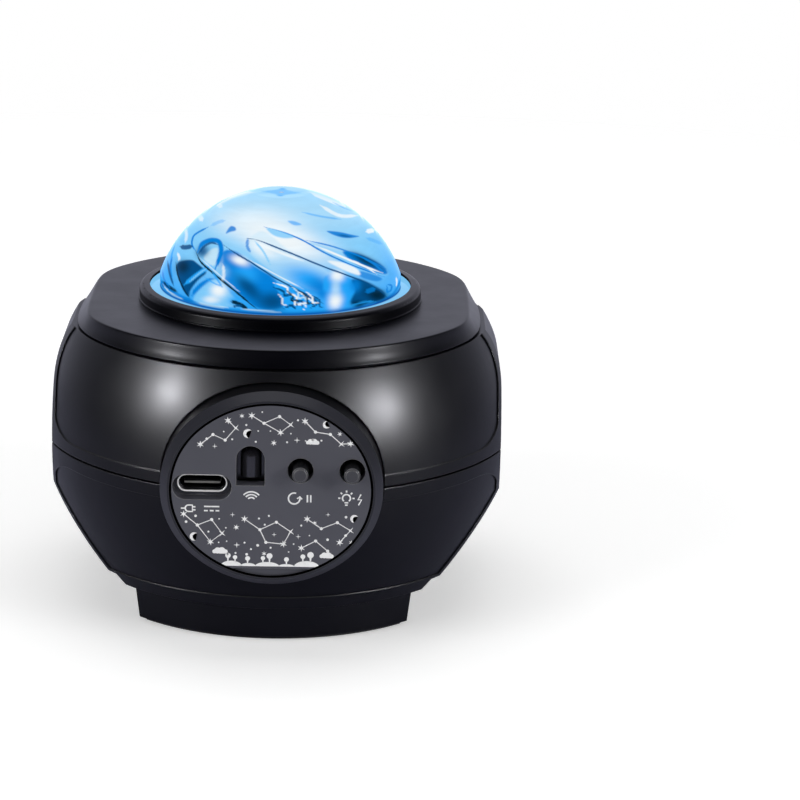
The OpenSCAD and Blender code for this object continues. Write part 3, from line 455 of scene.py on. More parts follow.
@dataclass(frozen=True)
class LitDome(Finish):
    """The clear dome with the lamps' light caught in its ripples, from the mesh's glow layer, which also holds painted
    glints.

    Attributes:
        cover: how much of what is inside the caught light hides.
        bare_cover: how much of it the rest of the dome hides.
        strength: strength of the caught light.
        share: share of its colour that other light shows.
        streak_turn: turn of the streaks in the moulding, in degrees.
        streak_scale, streak_long: how many there are to a metre, and how that differs along each axis.
        streak_gain: how far they change the light.
        streak_bump: strength and height of their relief, in millimetres.
        clear_tint: tint of what is seen through the dome.
    """

    cover: float = 1.0
    bare_cover: float = 0.06
    strength: float = 0.96
    share: float = 0.02
    streak_turn: float = 28.0
    streak_scale: float = 130.0
    streak_long: Triple = (1.0, 2.0, 9.0)
    streak_gain: Point = (0.97, 1.02)
    streak_bump: Point = (0.12, 0.05)
    clear_tint: Color = (0.9, 0.96, 1.0)

    STREAK_SPAN = (0.35, 0.7)  # values of the noise that the gain lies between

    def surface(self, g: Graph, bsdf: Node, place: Socket) -> Socket:
        """Fills in the shader from the glow layer, with fine streaks in the moulding.

        Args:
            g, bsdf, place: as for Finish.

        Returns:
            The shader socket for the output.
        """
        layer = g.add("ShaderNodeVertexColor", layer_name="glow").outputs
        turn = (0.0, math.radians(self.streak_turn), 0.0)
        lay = g.out("ShaderNodeMapping", {"Vector": place, "Rotation": turn, "Scale": self.streak_long})
        fine = g.noise(lay, self.streak_scale, 4.0, 0.6)
        light = g.scaled(layer["Color"], g.remap(fine, *self.STREAK_SPAN, *self.streak_gain))
        self.glow(g, bsdf, light, g.scaled(layer["Color"], self.share), self.strength)
        strength, high = self.streak_bump
        bump = g.out("ShaderNodeBump", {"Height": fine, "Strength": strength, "Distance": high * MM})
        g.tree.links.new(bump, bsdf.inputs["Normal"])
        shown = g.math("MULTIPLY_ADD", layer["Alpha"], self.cover - self.bare_cover, self.bare_cover)
        through = g.out("ShaderNodeBsdfTransparent", {"Color": rgba(self.clear_tint)})
        return g.out("ShaderNodeMixShader", {0: shown, 1: through, 2: bsdf.outputs[0]})


@dataclass(frozen=True)
class LitLens(Finish):
    """The turning lens, lit from below: pale between its flutes and blue in them.

    Attributes:
        stops: where each colour of the ripple layer lies, from the ridges to the grooves.
        wander, wander_scale: how far the colours stray from the layer, and how often to a metre.
        strength: strength of its light.
        share: share of its colour that other light shows.
    """

    stops: tuple[tuple[float, Color], ...] = (
        (0.0, (0.62, 0.86, 1.0)), (0.35, (0.01, 0.3, 0.85)), (0.8, (0.0015, 0.06, 0.22)),
    )
    wander: float = 0.25
    wander_scale: float = 160.0
    strength: float = 0.9
    share: float = 0.2

    def surface(self, g: Graph, bsdf: Node, place: Socket) -> Socket:
        """Fills in the shader from the mesh's ripple layer.

        Args:
            g, bsdf, place: as for Finish.

        Returns:
            The shader socket for the output.
        """
        ripple = g.add("ShaderNodeAttribute", attribute_name="ripple").outputs["Fac"]
        stray = g.drift(place, self.wander_scale, 3.0, -self.wander, self.wander)
        ramp = g.add("ShaderNodeValToRGB", {0: g.plus(ripple, stray)})
        marks = ramp.color_ramp.elements
        marks.remove(marks[1])
        for spot, (position, color) in enumerate(self.stops):
            mark = marks[0] if spot == 0 else marks.new(position)
            mark.position, mark.color = position, rgba(color)
        self.glow(g, bsdf, ramp.outputs[0], g.scaled(ramp.outputs[0], self.share), self.strength)
        return bsdf.outputs[0]


@dataclass(frozen=True)
class Ink(Finish):
    """Screen-printed white ink with a slightly uneven film."""

    FILM_SCALE = 1500.0  # of the film's unevenness, per metre
    FILM_SPAN = (0.25, 0.45)  # values of the noise between which it is thin and full
    THIN = 0.9  # share of its white where it is thin

    def tint(self, g: Graph, place: Socket) -> Socket:
        """White, thinner in places."""
        film = g.noise(place, self.FILM_SCALE, 3.0)
        return g.scaled(self.color, g.remap(film, *self.FILM_SPAN, self.THIN, 1.0))


def library() -> dict[str, Finish]:
    """Lists the finish of every material slot.

    Returns:
        Each finish by the name of its slot.
    """
    finishes = [
        # rim paints a highlight on hard edges, as a lighter colour there.
        Finish("pad_rubber", (0.02, 0.02, 0.021), 0.85, 0.3, 0.05, 0.5),
        Finish("black_satin", (0.0006, 0.0006, 0.0024), 0.37, 0.15, 0.006, 0.3, 0.06, 0.3, rim=30.0),
        Metal("screw_steel", (0.55, 0.55, 0.57), 0.3),
        Finish("cover_grey", (0.0006, 0.0006, 0.0022), 0.35, 0.15, 0.006, 0.3, 0.06, 0.1),
        Finish("black_gloss", (0.0005, 0.0005, 0.0018), 0.33, 0.12, 0.002, 0.4, 0.05, 0.25),
        Fading("bezel_grey", (0.0245, 0.0248, 0.032), 0.38, 0.25, 0.006, 0.3, 0.06, 0.14, rim=2.6,
               start=46.0, end=46.3),
        Finish("plate_grey", (0.0755, 0.0765, 0.094), 0.45, 0.25, 0.008, 0.3, 0.05, 0.2, rim=2.6),
        Board("board_green", (0.012, 0.11, 0.045), 0.3),
        Finish("switch_grey", (0.07, 0.07, 0.075), 0.45),
        Fading("plunger_black", (0.045, 0.0455, 0.053), 0.36, 0.4, 0.006, 0.3, 0.05, 0.2, rim=3.2,
               start=50.3, end=50.6),
        # Painted shade: the inlet's shell turns dark further in, where its recess is in shade.
        Fading("tin_plate", (0.9, 0.9, 0.9), 0.3, 0.8, start=46.1, end=46.5),
        Tongue("socket_black", (0.0008, 0.0008, 0.0012), 0.5, 0.2),
        Finish("gap_black", (0.0003, 0.0003, 0.0004), 0.9, 0.0),
        # Painted shade: the receiver turns dark further back in its window; rim paints highlights on its edges.
        Fading("ir_black", (0.015, 0.0145, 0.018), 0.26, 0.8, 0.002, edge=0.2, rim=6.0,
               inner=(0.0004, 0.0004, 0.0008), start=45.2, end=45.9),
        Metal("basket_steel", (0.4, 0.4, 0.42), 0.42),
        Metal("magnet_steel", (0.28, 0.28, 0.3), 0.35),
        Finish("cone_paper", (0.03, 0.03, 0.032), 0.9, 0.2, 0.06, 0.6, 0.2),
        Finish("chip_black", (0.022, 0.022, 0.022), 0.6, 0.4, 0.015),
        Finish("deck_white", (0.68, 0.68, 0.65), 0.5, 0.4, 0.01),
        Metal("sink_aluminium", (0.7, 0.71, 0.73), 0.38, brush=20.0),
        Board("board_white", (0.74, 0.74, 0.72), 0.3, track=(0.82, 0.82, 0.8)),
        Clear("emitter_clear", (0.9, 0.92, 0.85), 0.1, veil=0.6, shine=0.6),
        Metal("cup_silver", (0.83, 0.83, 0.85), 0.08, grain=0.002, brush=1.0),
        Metal("laser_brass", (0.72, 0.55, 0.26), 0.3, brush=0.1),
        Clear("grating_glass", (0.66, 0.6, 0.85), 0.08, veil=0.35),
        Finish("gear_white", (0.8, 0.8, 0.78), 0.4, 0.45, 0.008),
        LitLens("lens_clear", (0.55, 0.82, 1.0), 0.12),
        # The dome's own reflection is kept faint; its glints are painted in the facets.
        LitDome("dome_clear", (0.35, 0.72, 1.0), 0.05, 0.02),
        Ink("ink", (0.94, 0.94, 0.95), 0.55, 0.3, 0.01, 0.2),
        Metal("gearbox_brass", (0.68, 0.54, 0.28), 0.36),
        Metal("motor_steel", (0.58, 0.58, 0.6), 0.3),
    ]
    return {f.slot: f for f in finishes}


# ------------------------------------------------------------- mesh building
def way(bearing: float, lift: float) -> np.ndarray:
    """Points from the middle to a bearing, counted from the panel side, and a height angle, in radians."""
    return np.array([math.sin(bearing) * math.cos(lift), -math.cos(bearing) * math.cos(lift), math.sin(lift)])


def put(name: str, data: bpy.types.ID) -> Object:
    """Puts a new object in the scene.

    Args:
        name: its name.
        data: its mesh, lamp or camera.

    Returns:
        The object, at the origin.
    """
    obj = bpy.data.objects.new(name, data)
    bpy.context.scene.collection.objects.link(obj)
    return obj


def outward(mesh: Mesh, bm: bmesh.types.BMesh | None = None) -> Mesh:
    """Turns the faces of a closed shape outwards.

    Args:
        mesh: the mesh that takes the result.
        bm: the shape, where it isn't the mesh's own.

    Returns:
        The mesh.
    """
    if bm is None:
        bm = bmesh.new()
        bm.from_mesh(mesh)
    bmesh.ops.recalc_face_normals(bm, faces=bm.faces)
    bm.to_mesh(mesh)
    bm.free()
    return mesh


def tube(name: str, loops: Sequence[Sequence[Place]]) -> Mesh:
    """Joins rings of points, each to the next and the last to the first, into one closed skin.

    Args:
        name: the mesh's name.
        loops: the rings, in millimetres, with as many points each.

    Returns:
        The mesh in metres.
    """
    count, n = len(loops), len(loops[0])
    faces = [(k * n + i, (k + 1) % count * n + i, (k + 1) % count * n + (i + 1) % n, k * n + (i + 1) % n)
             for k in range(count) for i in range(n)]
    mesh = bpy.data.meshes.new(name)
    mesh.from_pydata(np.concatenate(loops) * MM, [], faces)
    return outward(mesh)


def revolve(name: str, section: Sequence[Point], around: int) -> Mesh:
    """Turns a section round the Z axis into a closed skin.

    Args:
        name: the mesh's name.
        section: (radius, height) points in millimetres, from the axis above round to the axis below.
        around: number of steps round the axis.

    Returns:
        The mesh in metres. Its two pole points come last.
    """
    r, z = np.array(section).T
    turn = np.arange(around) * 2 * math.pi / around
    ring = np.stack([np.sin(turn), -np.cos(turn)], 1)
    co = np.concatenate([r[:, None, None] * ring[None], np.repeat(z, around).reshape(-1, around, 1)], 2).reshape(-1, 3)
    co = np.concatenate([co, [(0.0, 0.0, z[0]), (0.0, 0.0, z[-1])]])
    j = np.arange(around)
    k = (j + 1) % around
    rows = np.arange(len(section) - 1)[:, None] * around
    quads = np.stack([rows + j, rows + around + j, rows + around + k, rows + k], 2).reshape(-1, 4)
    top, low, last = len(co) - 2, len(co) - 1, (len(section) - 1) * around
    caps = [(top, a, b) for a, b in zip(j, k)] + [(last + a, low, last + b) for a, b in zip(j, k)]
    mesh = bpy.data.meshes.new(name)
    mesh.from_pydata(co * MM, [], quads.tolist() + caps)
    return mesh


def prism(name: str, outlines: Iterable[Sequence[Point]], depth: float) -> Mesh:
    """Makes flat shapes in the XZ plane into thin prisms about Y = 0.

    Args:
        name: the mesh's name.
        outlines: closed outlines, counter-clockwise from -Y.
        depth: their thickness.

    Returns:
        The mesh, in the outlines' unit.
    """
    bm = bmesh.new()
    for outline in outlines:
        face = bm.faces.new([bm.verts.new((x, -depth / 2, z)) for x, z in outline])
        grown = bmesh.ops.extrude_face_region(bm, geom=[face])["geom"]
        bmesh.ops.translate(bm, verts=[v for v in grown if isinstance(v, bmesh.types.BMVert)], vec=(0, depth, 0))
    return outward(bpy.data.meshes.new(name), bm)


def piece(name: str, mesh: Mesh, mat: Material, crease: float = 35.0) -> Object:
    """Puts a finished mesh in the scene as a piece.

    Args:
        name: the piece's name.
        mesh: its mesh, in place.
        mat: its material.
        crease: the angle past which an edge stays sharp, in degrees.

    Returns:
        The object, at the origin.
    """
    mesh.name = name
    mesh.materials.clear()
    mesh.materials.append(mat)
    mesh.shade_smooth()
    mesh.set_sharp_from_angle(angle=math.radians(crease))
    obj = put(name, mesh)
    log.info("made %s with %d faces", name, len(mesh.polygons))
    return obj


class Recipe(Graph):
    """A Geometry Nodes tree with named inputs, which ends in Realize Instances and Set Material."""

    KINDS = {float: "NodeSocketFloat", int: "NodeSocketInt", Object: "NodeSocketObject"}

    def __init__(self, name: str, inputs: Mapping[str, type]) -> None:
        """Makes an empty tree.

        Args:
            name: the tree's name.
            inputs: name of each size that it takes, and its type.
        """
        super().__init__(bpy.data.node_groups.new(name, "GeometryNodeTree"))
        self.socket("Geometry", "INPUT", "NodeSocketGeometry")
        for key, kind in inputs.items():
            self.socket(key, "INPUT", self.KINDS[kind])
        self.socket("Finish", "INPUT", "NodeSocketMaterial")
        self.socket("Geometry", "OUTPUT", "NodeSocketGeometry")
        self.given = self.add("NodeGroupInput").outputs

    def socket(self, name: str, side: str, kind: str) -> None:
        """Adds a named input or output."""
        self.tree.interface.new_socket(name=name, in_out=side, socket_type=kind)

    def position(self) -> Socket:
        """Gives the points' own places."""
        return self.out("GeometryNodeInputPosition")

    def close(self, made: Socket) -> None:
        """Ends the tree with the geometry that it has made.

        Args:
            made: the geometry's socket.
        """
        real = self.out("GeometryNodeRealizeInstances", {"Geometry": made})
        wear = self.out("GeometryNodeSetMaterial", {"Geometry": real, "Material": self.given["Finish"]})
        self.add("NodeGroupOutput", {"Geometry": wear})

    def run(self, base: Mesh, mat: Material | None, **values: object) -> Mesh:
        """Runs the tree on a mesh.

        Args:
            base: the mesh that it starts from.
            mat: the material of the result.
            values: the inputs, with _ for each space.

        Returns:
            The plain mesh that it makes.
        """
        seed = put("seed", base)
        mod = seed.modifiers.new("recipe", "NODES")
        mod.node_group = self.tree
        values["Finish"] = mat
        for item in self.tree.interface.items_tree:
            key = item.name.replace(" ", "_")
            if item.in_out == "INPUT" and key in values:
                mod[item.identifier] = values[key]
        mesh = bpy.data.meshes.new_from_object(seed.evaluated_get(bpy.context.evaluated_depsgraph_get()))
        seed.modifiers.clear()
        bpy.data.objects.remove(seed)
        return mesh


# -------------------------------------------------------------------- studio
@dataclass
class Studio:
    """Camera, lamps, floor and world. Lengths are in metres.

    Attributes:
        eye: place of the camera.
        forward: direction in which it looks.
        right: direction of the picture's right.
        lens, sensor: its focal length and the width of its sensor, in millimetres.
        middle: the point that the lamps hang round.
        ambient: strength of the world's even light.
        front: brightness of what surfaces that face the camera reflect.
        turned: how far the world lies back, from -1 to 1, where that brightness starts and ends to rise.
        cool: tint of what surfaces reflect of the world.
        beam_away, beam_size: distance and radius of the lamps that give a sheen.
        beam_angle: width of their beams, in degrees.
        sheen: their full power, in watts.
        table: radius of the table disc.
        fade: distances between which it fades into the background.
        paper: its colour.
        mirrored: its colour in reflections.
        mirrored_front: the share of that in front of the projector.
        ahead: the places, front to back, between which it rises to all of it.
        lift: how much brighter the camera sees it.
    """

    eye: Place = (0.0162778, -0.5827533, 0.2067582)
    forward: Place = (0.01218486, 0.95985714, -0.28022455)
    right: Place = (0.99977559, -0.00683805, 0.02005027)
    lens: float = 139.1037
    sensor: float = 36.0
    middle: Place = (0.0, 0.0, 0.03)
    ambient: float = 0.3
    front: float = 0.03
    turned: Point = (-0.1, 0.9)
    cool: Color = (0.83, 0.84, 1.0)
    beam_away: float = 1.25
    beam_size: float = 0.075
    beam_angle: float = 4.4
    sheen: float = 880.0
    table: float = 0.9
    fade: Point = (0.25, 0.6)
    paper: Color = (0.86, 0.86, 0.86)
    mirrored: Color = (0.68, 0.69, 0.9)
    mirrored_front: float = 0.1
    ahead: Point = (-0.3, -0.1)
    lift: float = 0.4

    def build(self) -> None:
        """Makes everything that isn't part of the projector."""
        scene = bpy.context.scene
        scene.view_settings.view_transform = "Standard"
        scene.camera = self.camera()
        self.world()
        self.floor()
        for side, name, bearing, lift, share in ((-1.0, "left", -57.6, 21.6, 0.96), (1.0, "right", 54.6, 17.0, 1.0)):
            box = self.softbox(
                "softbox_" + name, bearing=side * 54.0, lift=20.0, away=1.25, size=(0.42, 1.0), level=4.0)
            box.visible_glossy = False
            self.beam("sheen_" + name, bearing, lift, aim=(side * 0.028, -0.033, 0.042), share=share)
            self.beam("low_sheen_" + name, bearing, lift=1.0, aim=(side * 0.019, -0.036, 0.056), share=0.3)
        self.softbox("softbox_top", bearing=180.0, lift=78.0, away=1.4, size=(1.3, 1.1), level=1.6)

    def camera(self) -> Object:
        """Makes the camera.

        Returns:
            The camera.
        """
        data = bpy.data.cameras.new("camera")
        data.sensor_width, data.lens = self.sensor, self.lens
        data.clip_start, data.clip_end = 0.05, 20.0
        obj = put("camera", data)
        f, r = Vector(self.forward).normalized(), Vector(self.right).normalized()
        obj.matrix_world = Matrix.Translation(self.eye) @ Matrix((r, r.cross(f), -f)).transposed().to_4x4()
        return obj

    def lamp(self, name: str, kind: str, bearing: float, lift: float, away: float, aim: Place) -> Object:
        """Hangs up a lamp.

        Args:
            name: its name.
            kind: its type.
            bearing: degrees round from the panel side.
            lift: degrees above the table.
            away: distance from the middle.
            aim: the point that it faces.

        Returns:
            The lamp.
        """
        obj = put(name, bpy.data.lights.new(name, kind))
        obj.location = Vector(self.middle) + Vector(way(math.radians(bearing), math.radians(lift))) * away
        obj.rotation_euler = (obj.location - Vector(aim)).to_track_quat("Z", "Y").to_euler()
        return obj

    def softbox(self, name: str, bearing: float, lift: float, away: float, size: Point, level: float) -> Object:
        """Adds a rectangular lamp that faces the projector.

        Args:
            name, bearing, lift, away: as for lamp.
            size: width and height.
            level: brightness of its face.

        Returns:
            The lamp.
        """
        obj = self.lamp(name, "AREA", bearing, lift, away, self.middle)
        obj.data.shape, obj.data.size, obj.data.size_y = "RECTANGLE", *size
        obj.data.energy = level * math.pi * size[0] * size[1]
        return obj

    def beam(self, name: str, bearing: float, lift: float, aim: Place, share: float) -> None:
        """Adds a narrow lamp that only gives surfaces a sheen.

        Args:
            name, bearing, lift, aim: as for lamp.
            share: its share of the full power.
        """
        obj = self.lamp(name, "SPOT", bearing, lift, self.beam_away, aim)
        obj.data.energy, obj.data.shadow_soft_size = self.sheen * share, self.beam_size
        obj.data.spot_size, obj.data.spot_blend = math.radians(self.beam_angle), 1.0
        obj.visible_diffuse = False

    def part_sheen(self, rim: Sequence[Object], dull: Sequence[Object]) -> None:
        """Keeps the high sheen lamps off the flat top, drums and dome, and lets the low ones light the top alone.

        Args:
            rim: the cover and the collar.
            dull: the panel's and the speaker's drum, and the dome.
        """
        for prefix, state, pieces in (("sheen_", "EXCLUDE", (*rim, *dull)), ("low_sheen_", "INCLUDE", rim)):
            group = bpy.data.collections.new(prefix + "group")
            for obj in pieces:
                group.objects.link(obj)
            for item in group.collection_objects:
                item.light_linking.link_state = state
            for side in ("left", "right"):
                bpy.data.objects[prefix + side].light_linking.receiver_collection = group

    def world(self) -> None:
        """Even dim light, a white background behind the projector, and little to reflect in front of it."""
        world = bpy.data.worlds.new("studio")
        g = Graph.fresh(world)
        ray = g.add("ShaderNodeLightPath")
        glossy = ray.outputs["Is Glossy Ray"]
        across = g.axis(g.add("ShaderNodeTexCoord").outputs["Generated"], "Y")
        mirrored = g.remap(across, *self.turned, self.front, 1.0)
        soft = g.out("ShaderNodeMix", {0: glossy, 2: self.ambient, 3: mirrored})
        strength = g.out("ShaderNodeMix", {0: g.seen(ray), 2: soft, 3: 1.0})
        cool = g.mix(glossy, BARE, rgba(self.cool))
        back = g.out("ShaderNodeBackground", {"Color": cool, "Strength": strength})
        g.add("ShaderNodeOutputWorld", {"Surface": back})
        bpy.context.scene.world = world

    def floor(self) -> None:
        """A white table disc that fades into the background and keeps the shadow."""
        mesh = bpy.data.meshes.new("floor")
        bm = bmesh.new()
        bmesh.ops.create_circle(bm, cap_ends=True, cap_tris=False, segments=96, radius=self.table)
        bm.to_mesh(mesh)
        bm.free()
        mat = bpy.data.materials.new("floor")
        g = Graph.fresh(mat)
        place = g.add("ShaderNodeTexCoord").outputs["Object"]
        ray = g.add("ShaderNodeLightPath")
        lift = g.out("ShaderNodeEmission", {"Strength": g.times(g.seen(ray), self.lift)})
        mirrored = g.scaled(self.mirrored, g.remap(g.axis(place, "Y"), *self.ahead, self.mirrored_front, 1.0))
        white = g.mix(ray.outputs["Is Glossy Ray"], rgba(self.paper), mirrored)
        paper = g.out("ShaderNodeBsdfDiffuse", {"Color": white})
        lit = g.out("ShaderNodeAddShader", {0: paper, 1: lift})
        gone = g.out("ShaderNodeBsdfTransparent")
        away = g.remap(g.vector("LENGTH", place, out="Value"), *self.fade, 0.0, 1.0)
        surface = g.out("ShaderNodeMixShader", {0: away, 1: lit, 2: gone})
        g.add("ShaderNodeOutputMaterial", {"Surface": surface})
        mesh.materials.append(mat)
        obj = put("floor", mesh)


# ---------------------------------------------------------------------- dome
def linear(code: str) -> np.ndarray:
    """Turns a hex colour into linear values."""
    parts = (int(code[i : i + 2], 16) / 255 for i in (1, 3, 5))
    return np.array([v / 12.92 if v <= 0.04045 else ((v + 0.055) / 1.055) ** 2.4 for v in parts])


def smooth(value: np.ndarray, low: float, high: float) -> np.ndarray:
    """Rises smoothly from 0 at low to 1 at high."""
    x = np.clip((value - low) / (high - low), 0.0, 1.0)
    return x * x * (3 - 2 * x)


def blend(first: np.ndarray, second: np.ndarray, share: np.ndarray) -> np.ndarray:
    """Turns the first colour to the second by a share for each point."""
    return first * (1 - share[:, None]) + second * share[:, None]


class Tone(Enum):
    """Tones of the lit dome, from its brightest facets to its darkest."""

    WHITE = "#f4fbfe"
    PALE = "#c2e7fc"
    SKY = "#84cffd"
    AZURE = "#22a6fd"
    COBALT = "#0583de"
    DEEP = "#03508a"
    INK = "#02283f"


class Mark(Enum):
    """Ways in which a facet of the dome shows the lamps' light caught from below; white ones are partly painted glints.
    """

    PATCH = "patch"
    RIDGE = "ridge"
    POOL = "pool"


@dataclass(frozen=True)
class Facet:
    """One facet of the rippled dome, seen from the panel side, in percent of the dome's radius.

    Attributes:
        mark: whether it is a patch, a ridge line or a soft pool of light.
        tone: its tone.
        points: a patch's corners, a ridge's course, or a pool's middle and half sizes.
        size: a ridge's width, or a pool's turn in degrees.
        soft: softness of its border.
        strength: how much of the tone it takes.
    """

    mark: Mark
    tone: Tone
    points: tuple[Point, ...]
    size: float
    soft: float
    strength: float

    FALL = 1.3  # how steeply a pool fades
    CUT = 0.22  # share of each side that rounding a corner takes
    ROUNDS = 2  # how often corners are rounded
    TAPER = 6.0  # one over the share of a ridge in which its end grows to full width
    TIP = 0.25  # width of a ridge's tip

    def cover(self, across: np.ndarray, up: np.ndarray) -> np.ndarray:
        """Says how much of each point the facet covers.

        Args:
            across: the points' places to the right.
            up: the points' places upwards.

        Returns:
            A share from 0 to its strength for each point.
        """
        if self.mark is Mark.POOL:
            (cx, cy), (rx, ry) = self.points
            turn = math.radians(self.size)
            x, y = across - cx, up - cy
            u = (x * math.cos(turn) + y * math.sin(turn)) / rx
            v = (y * math.cos(turn) - x * math.sin(turn)) / ry
            return self.strength * np.exp(-self.FALL * (u * u + v * v) ** self.FALL)
        closed = self.mark is Mark.PATCH
        pts = self.course(closed)
        room = self.soft + self.size
        (left, low), (right, high) = pts.min(0) - room, pts.max(0) + room
        near = (across > left) & (across < right) & (up > low) & (up < high)
        share = np.zeros(across.shape)
        share[near] = self.drawn(across[near], up[near], pts, closed)
        return share

    def course(self, closed: bool) -> np.ndarray:
        """Rounds the corners of the facet's course.

        Args:
            closed: whether its end joins its start.

        Returns:
            The finer course, with its first point repeated at the end where it is closed.
        """
        pts = np.array(self.points + self.points[:1] if closed else self.points, float)
        for _ in range(self.ROUNDS):
            step = self.CUT * np.diff(pts, axis=0)
            near, far = pts[:-1] + step, pts[1:] - step
            cut = np.stack([near, far], 1).reshape(-1, 2)
            pts = np.concatenate([cut, cut[:1]]) if closed else np.concatenate([pts[:1], cut[1:-1], pts[-1:]])
        return pts

    def drawn(self, across: np.ndarray, up: np.ndarray, pts: np.ndarray, closed: bool) -> np.ndarray:
        """Says how much of each point a patch or a ridge covers.

        Args:
            across, up: the points' places.
            pts: the facet's course.
            closed: whether it is a patch.

        Returns:
            A share from 0 to its strength for each point.
        """
        best = np.full(across.shape, math.inf)
        along = np.zeros(across.shape)
        inside = np.zeros(across.shape, bool)
        steps = np.linalg.norm(np.diff(pts, axis=0), axis=1)
        start = np.concatenate([[0.0], np.cumsum(steps)])
        for i, (a, b) in enumerate(zip(pts[:-1], pts[1:])):
            d = b - a
            t = np.clip(((across - a[0]) * d[0] + (up - a[1]) * d[1]) / (d @ d), 0.0, 1.0)
            gap = np.hypot(across - a[0] - t * d[0], up - a[1] - t * d[1])
            near = gap < best
            best = np.where(near, gap, best)
            along = np.where(near, start[i] + t * steps[i], along)
            if closed:
                crosses = (a[1] > up) != (b[1] > up)
                rise = np.where(b[1] == a[1], 1.0, b[1] - a[1])
                inside ^= crosses & (across < (up - a[1]) * d[0] / rise + a[0])
        if closed:
            return self.strength * smooth(np.where(inside, best, -best), -self.soft, self.soft)
        share = along / start[-1]
        half = self.size / 2 * np.clip(self.TAPER * np.minimum(share, 1 - share), self.TIP, 1.0)
        return self.strength * (1 - smooth(best, half - self.soft / 2, half + self.soft / 2))


WHITE, PALE, SKY, AZURE, COBALT, DEEP, INK = Tone


def patch(tone: Tone, strength: float, soft: float, *corners: Point) -> Facet:
    """Names a patch between its corners."""
    return Facet(Mark.PATCH, tone, corners, 0.0, soft, strength)


def ridge(tone: Tone, strength: float, soft: float, width: float, *course: Point) -> Facet:
    """Names a ridge along its course."""
    return Facet(Mark.RIDGE, tone, course, width, soft, strength)


def pool(tone: Tone, strength: float, x: float, y: float, half_w: float, half_h: float, turn: float = 0.0) -> Facet:
    """Names a pool by its middle, half sizes and turn."""
    return Facet(Mark.POOL, tone, ((x, y), (half_w, half_h)), turn, 0.0, strength)
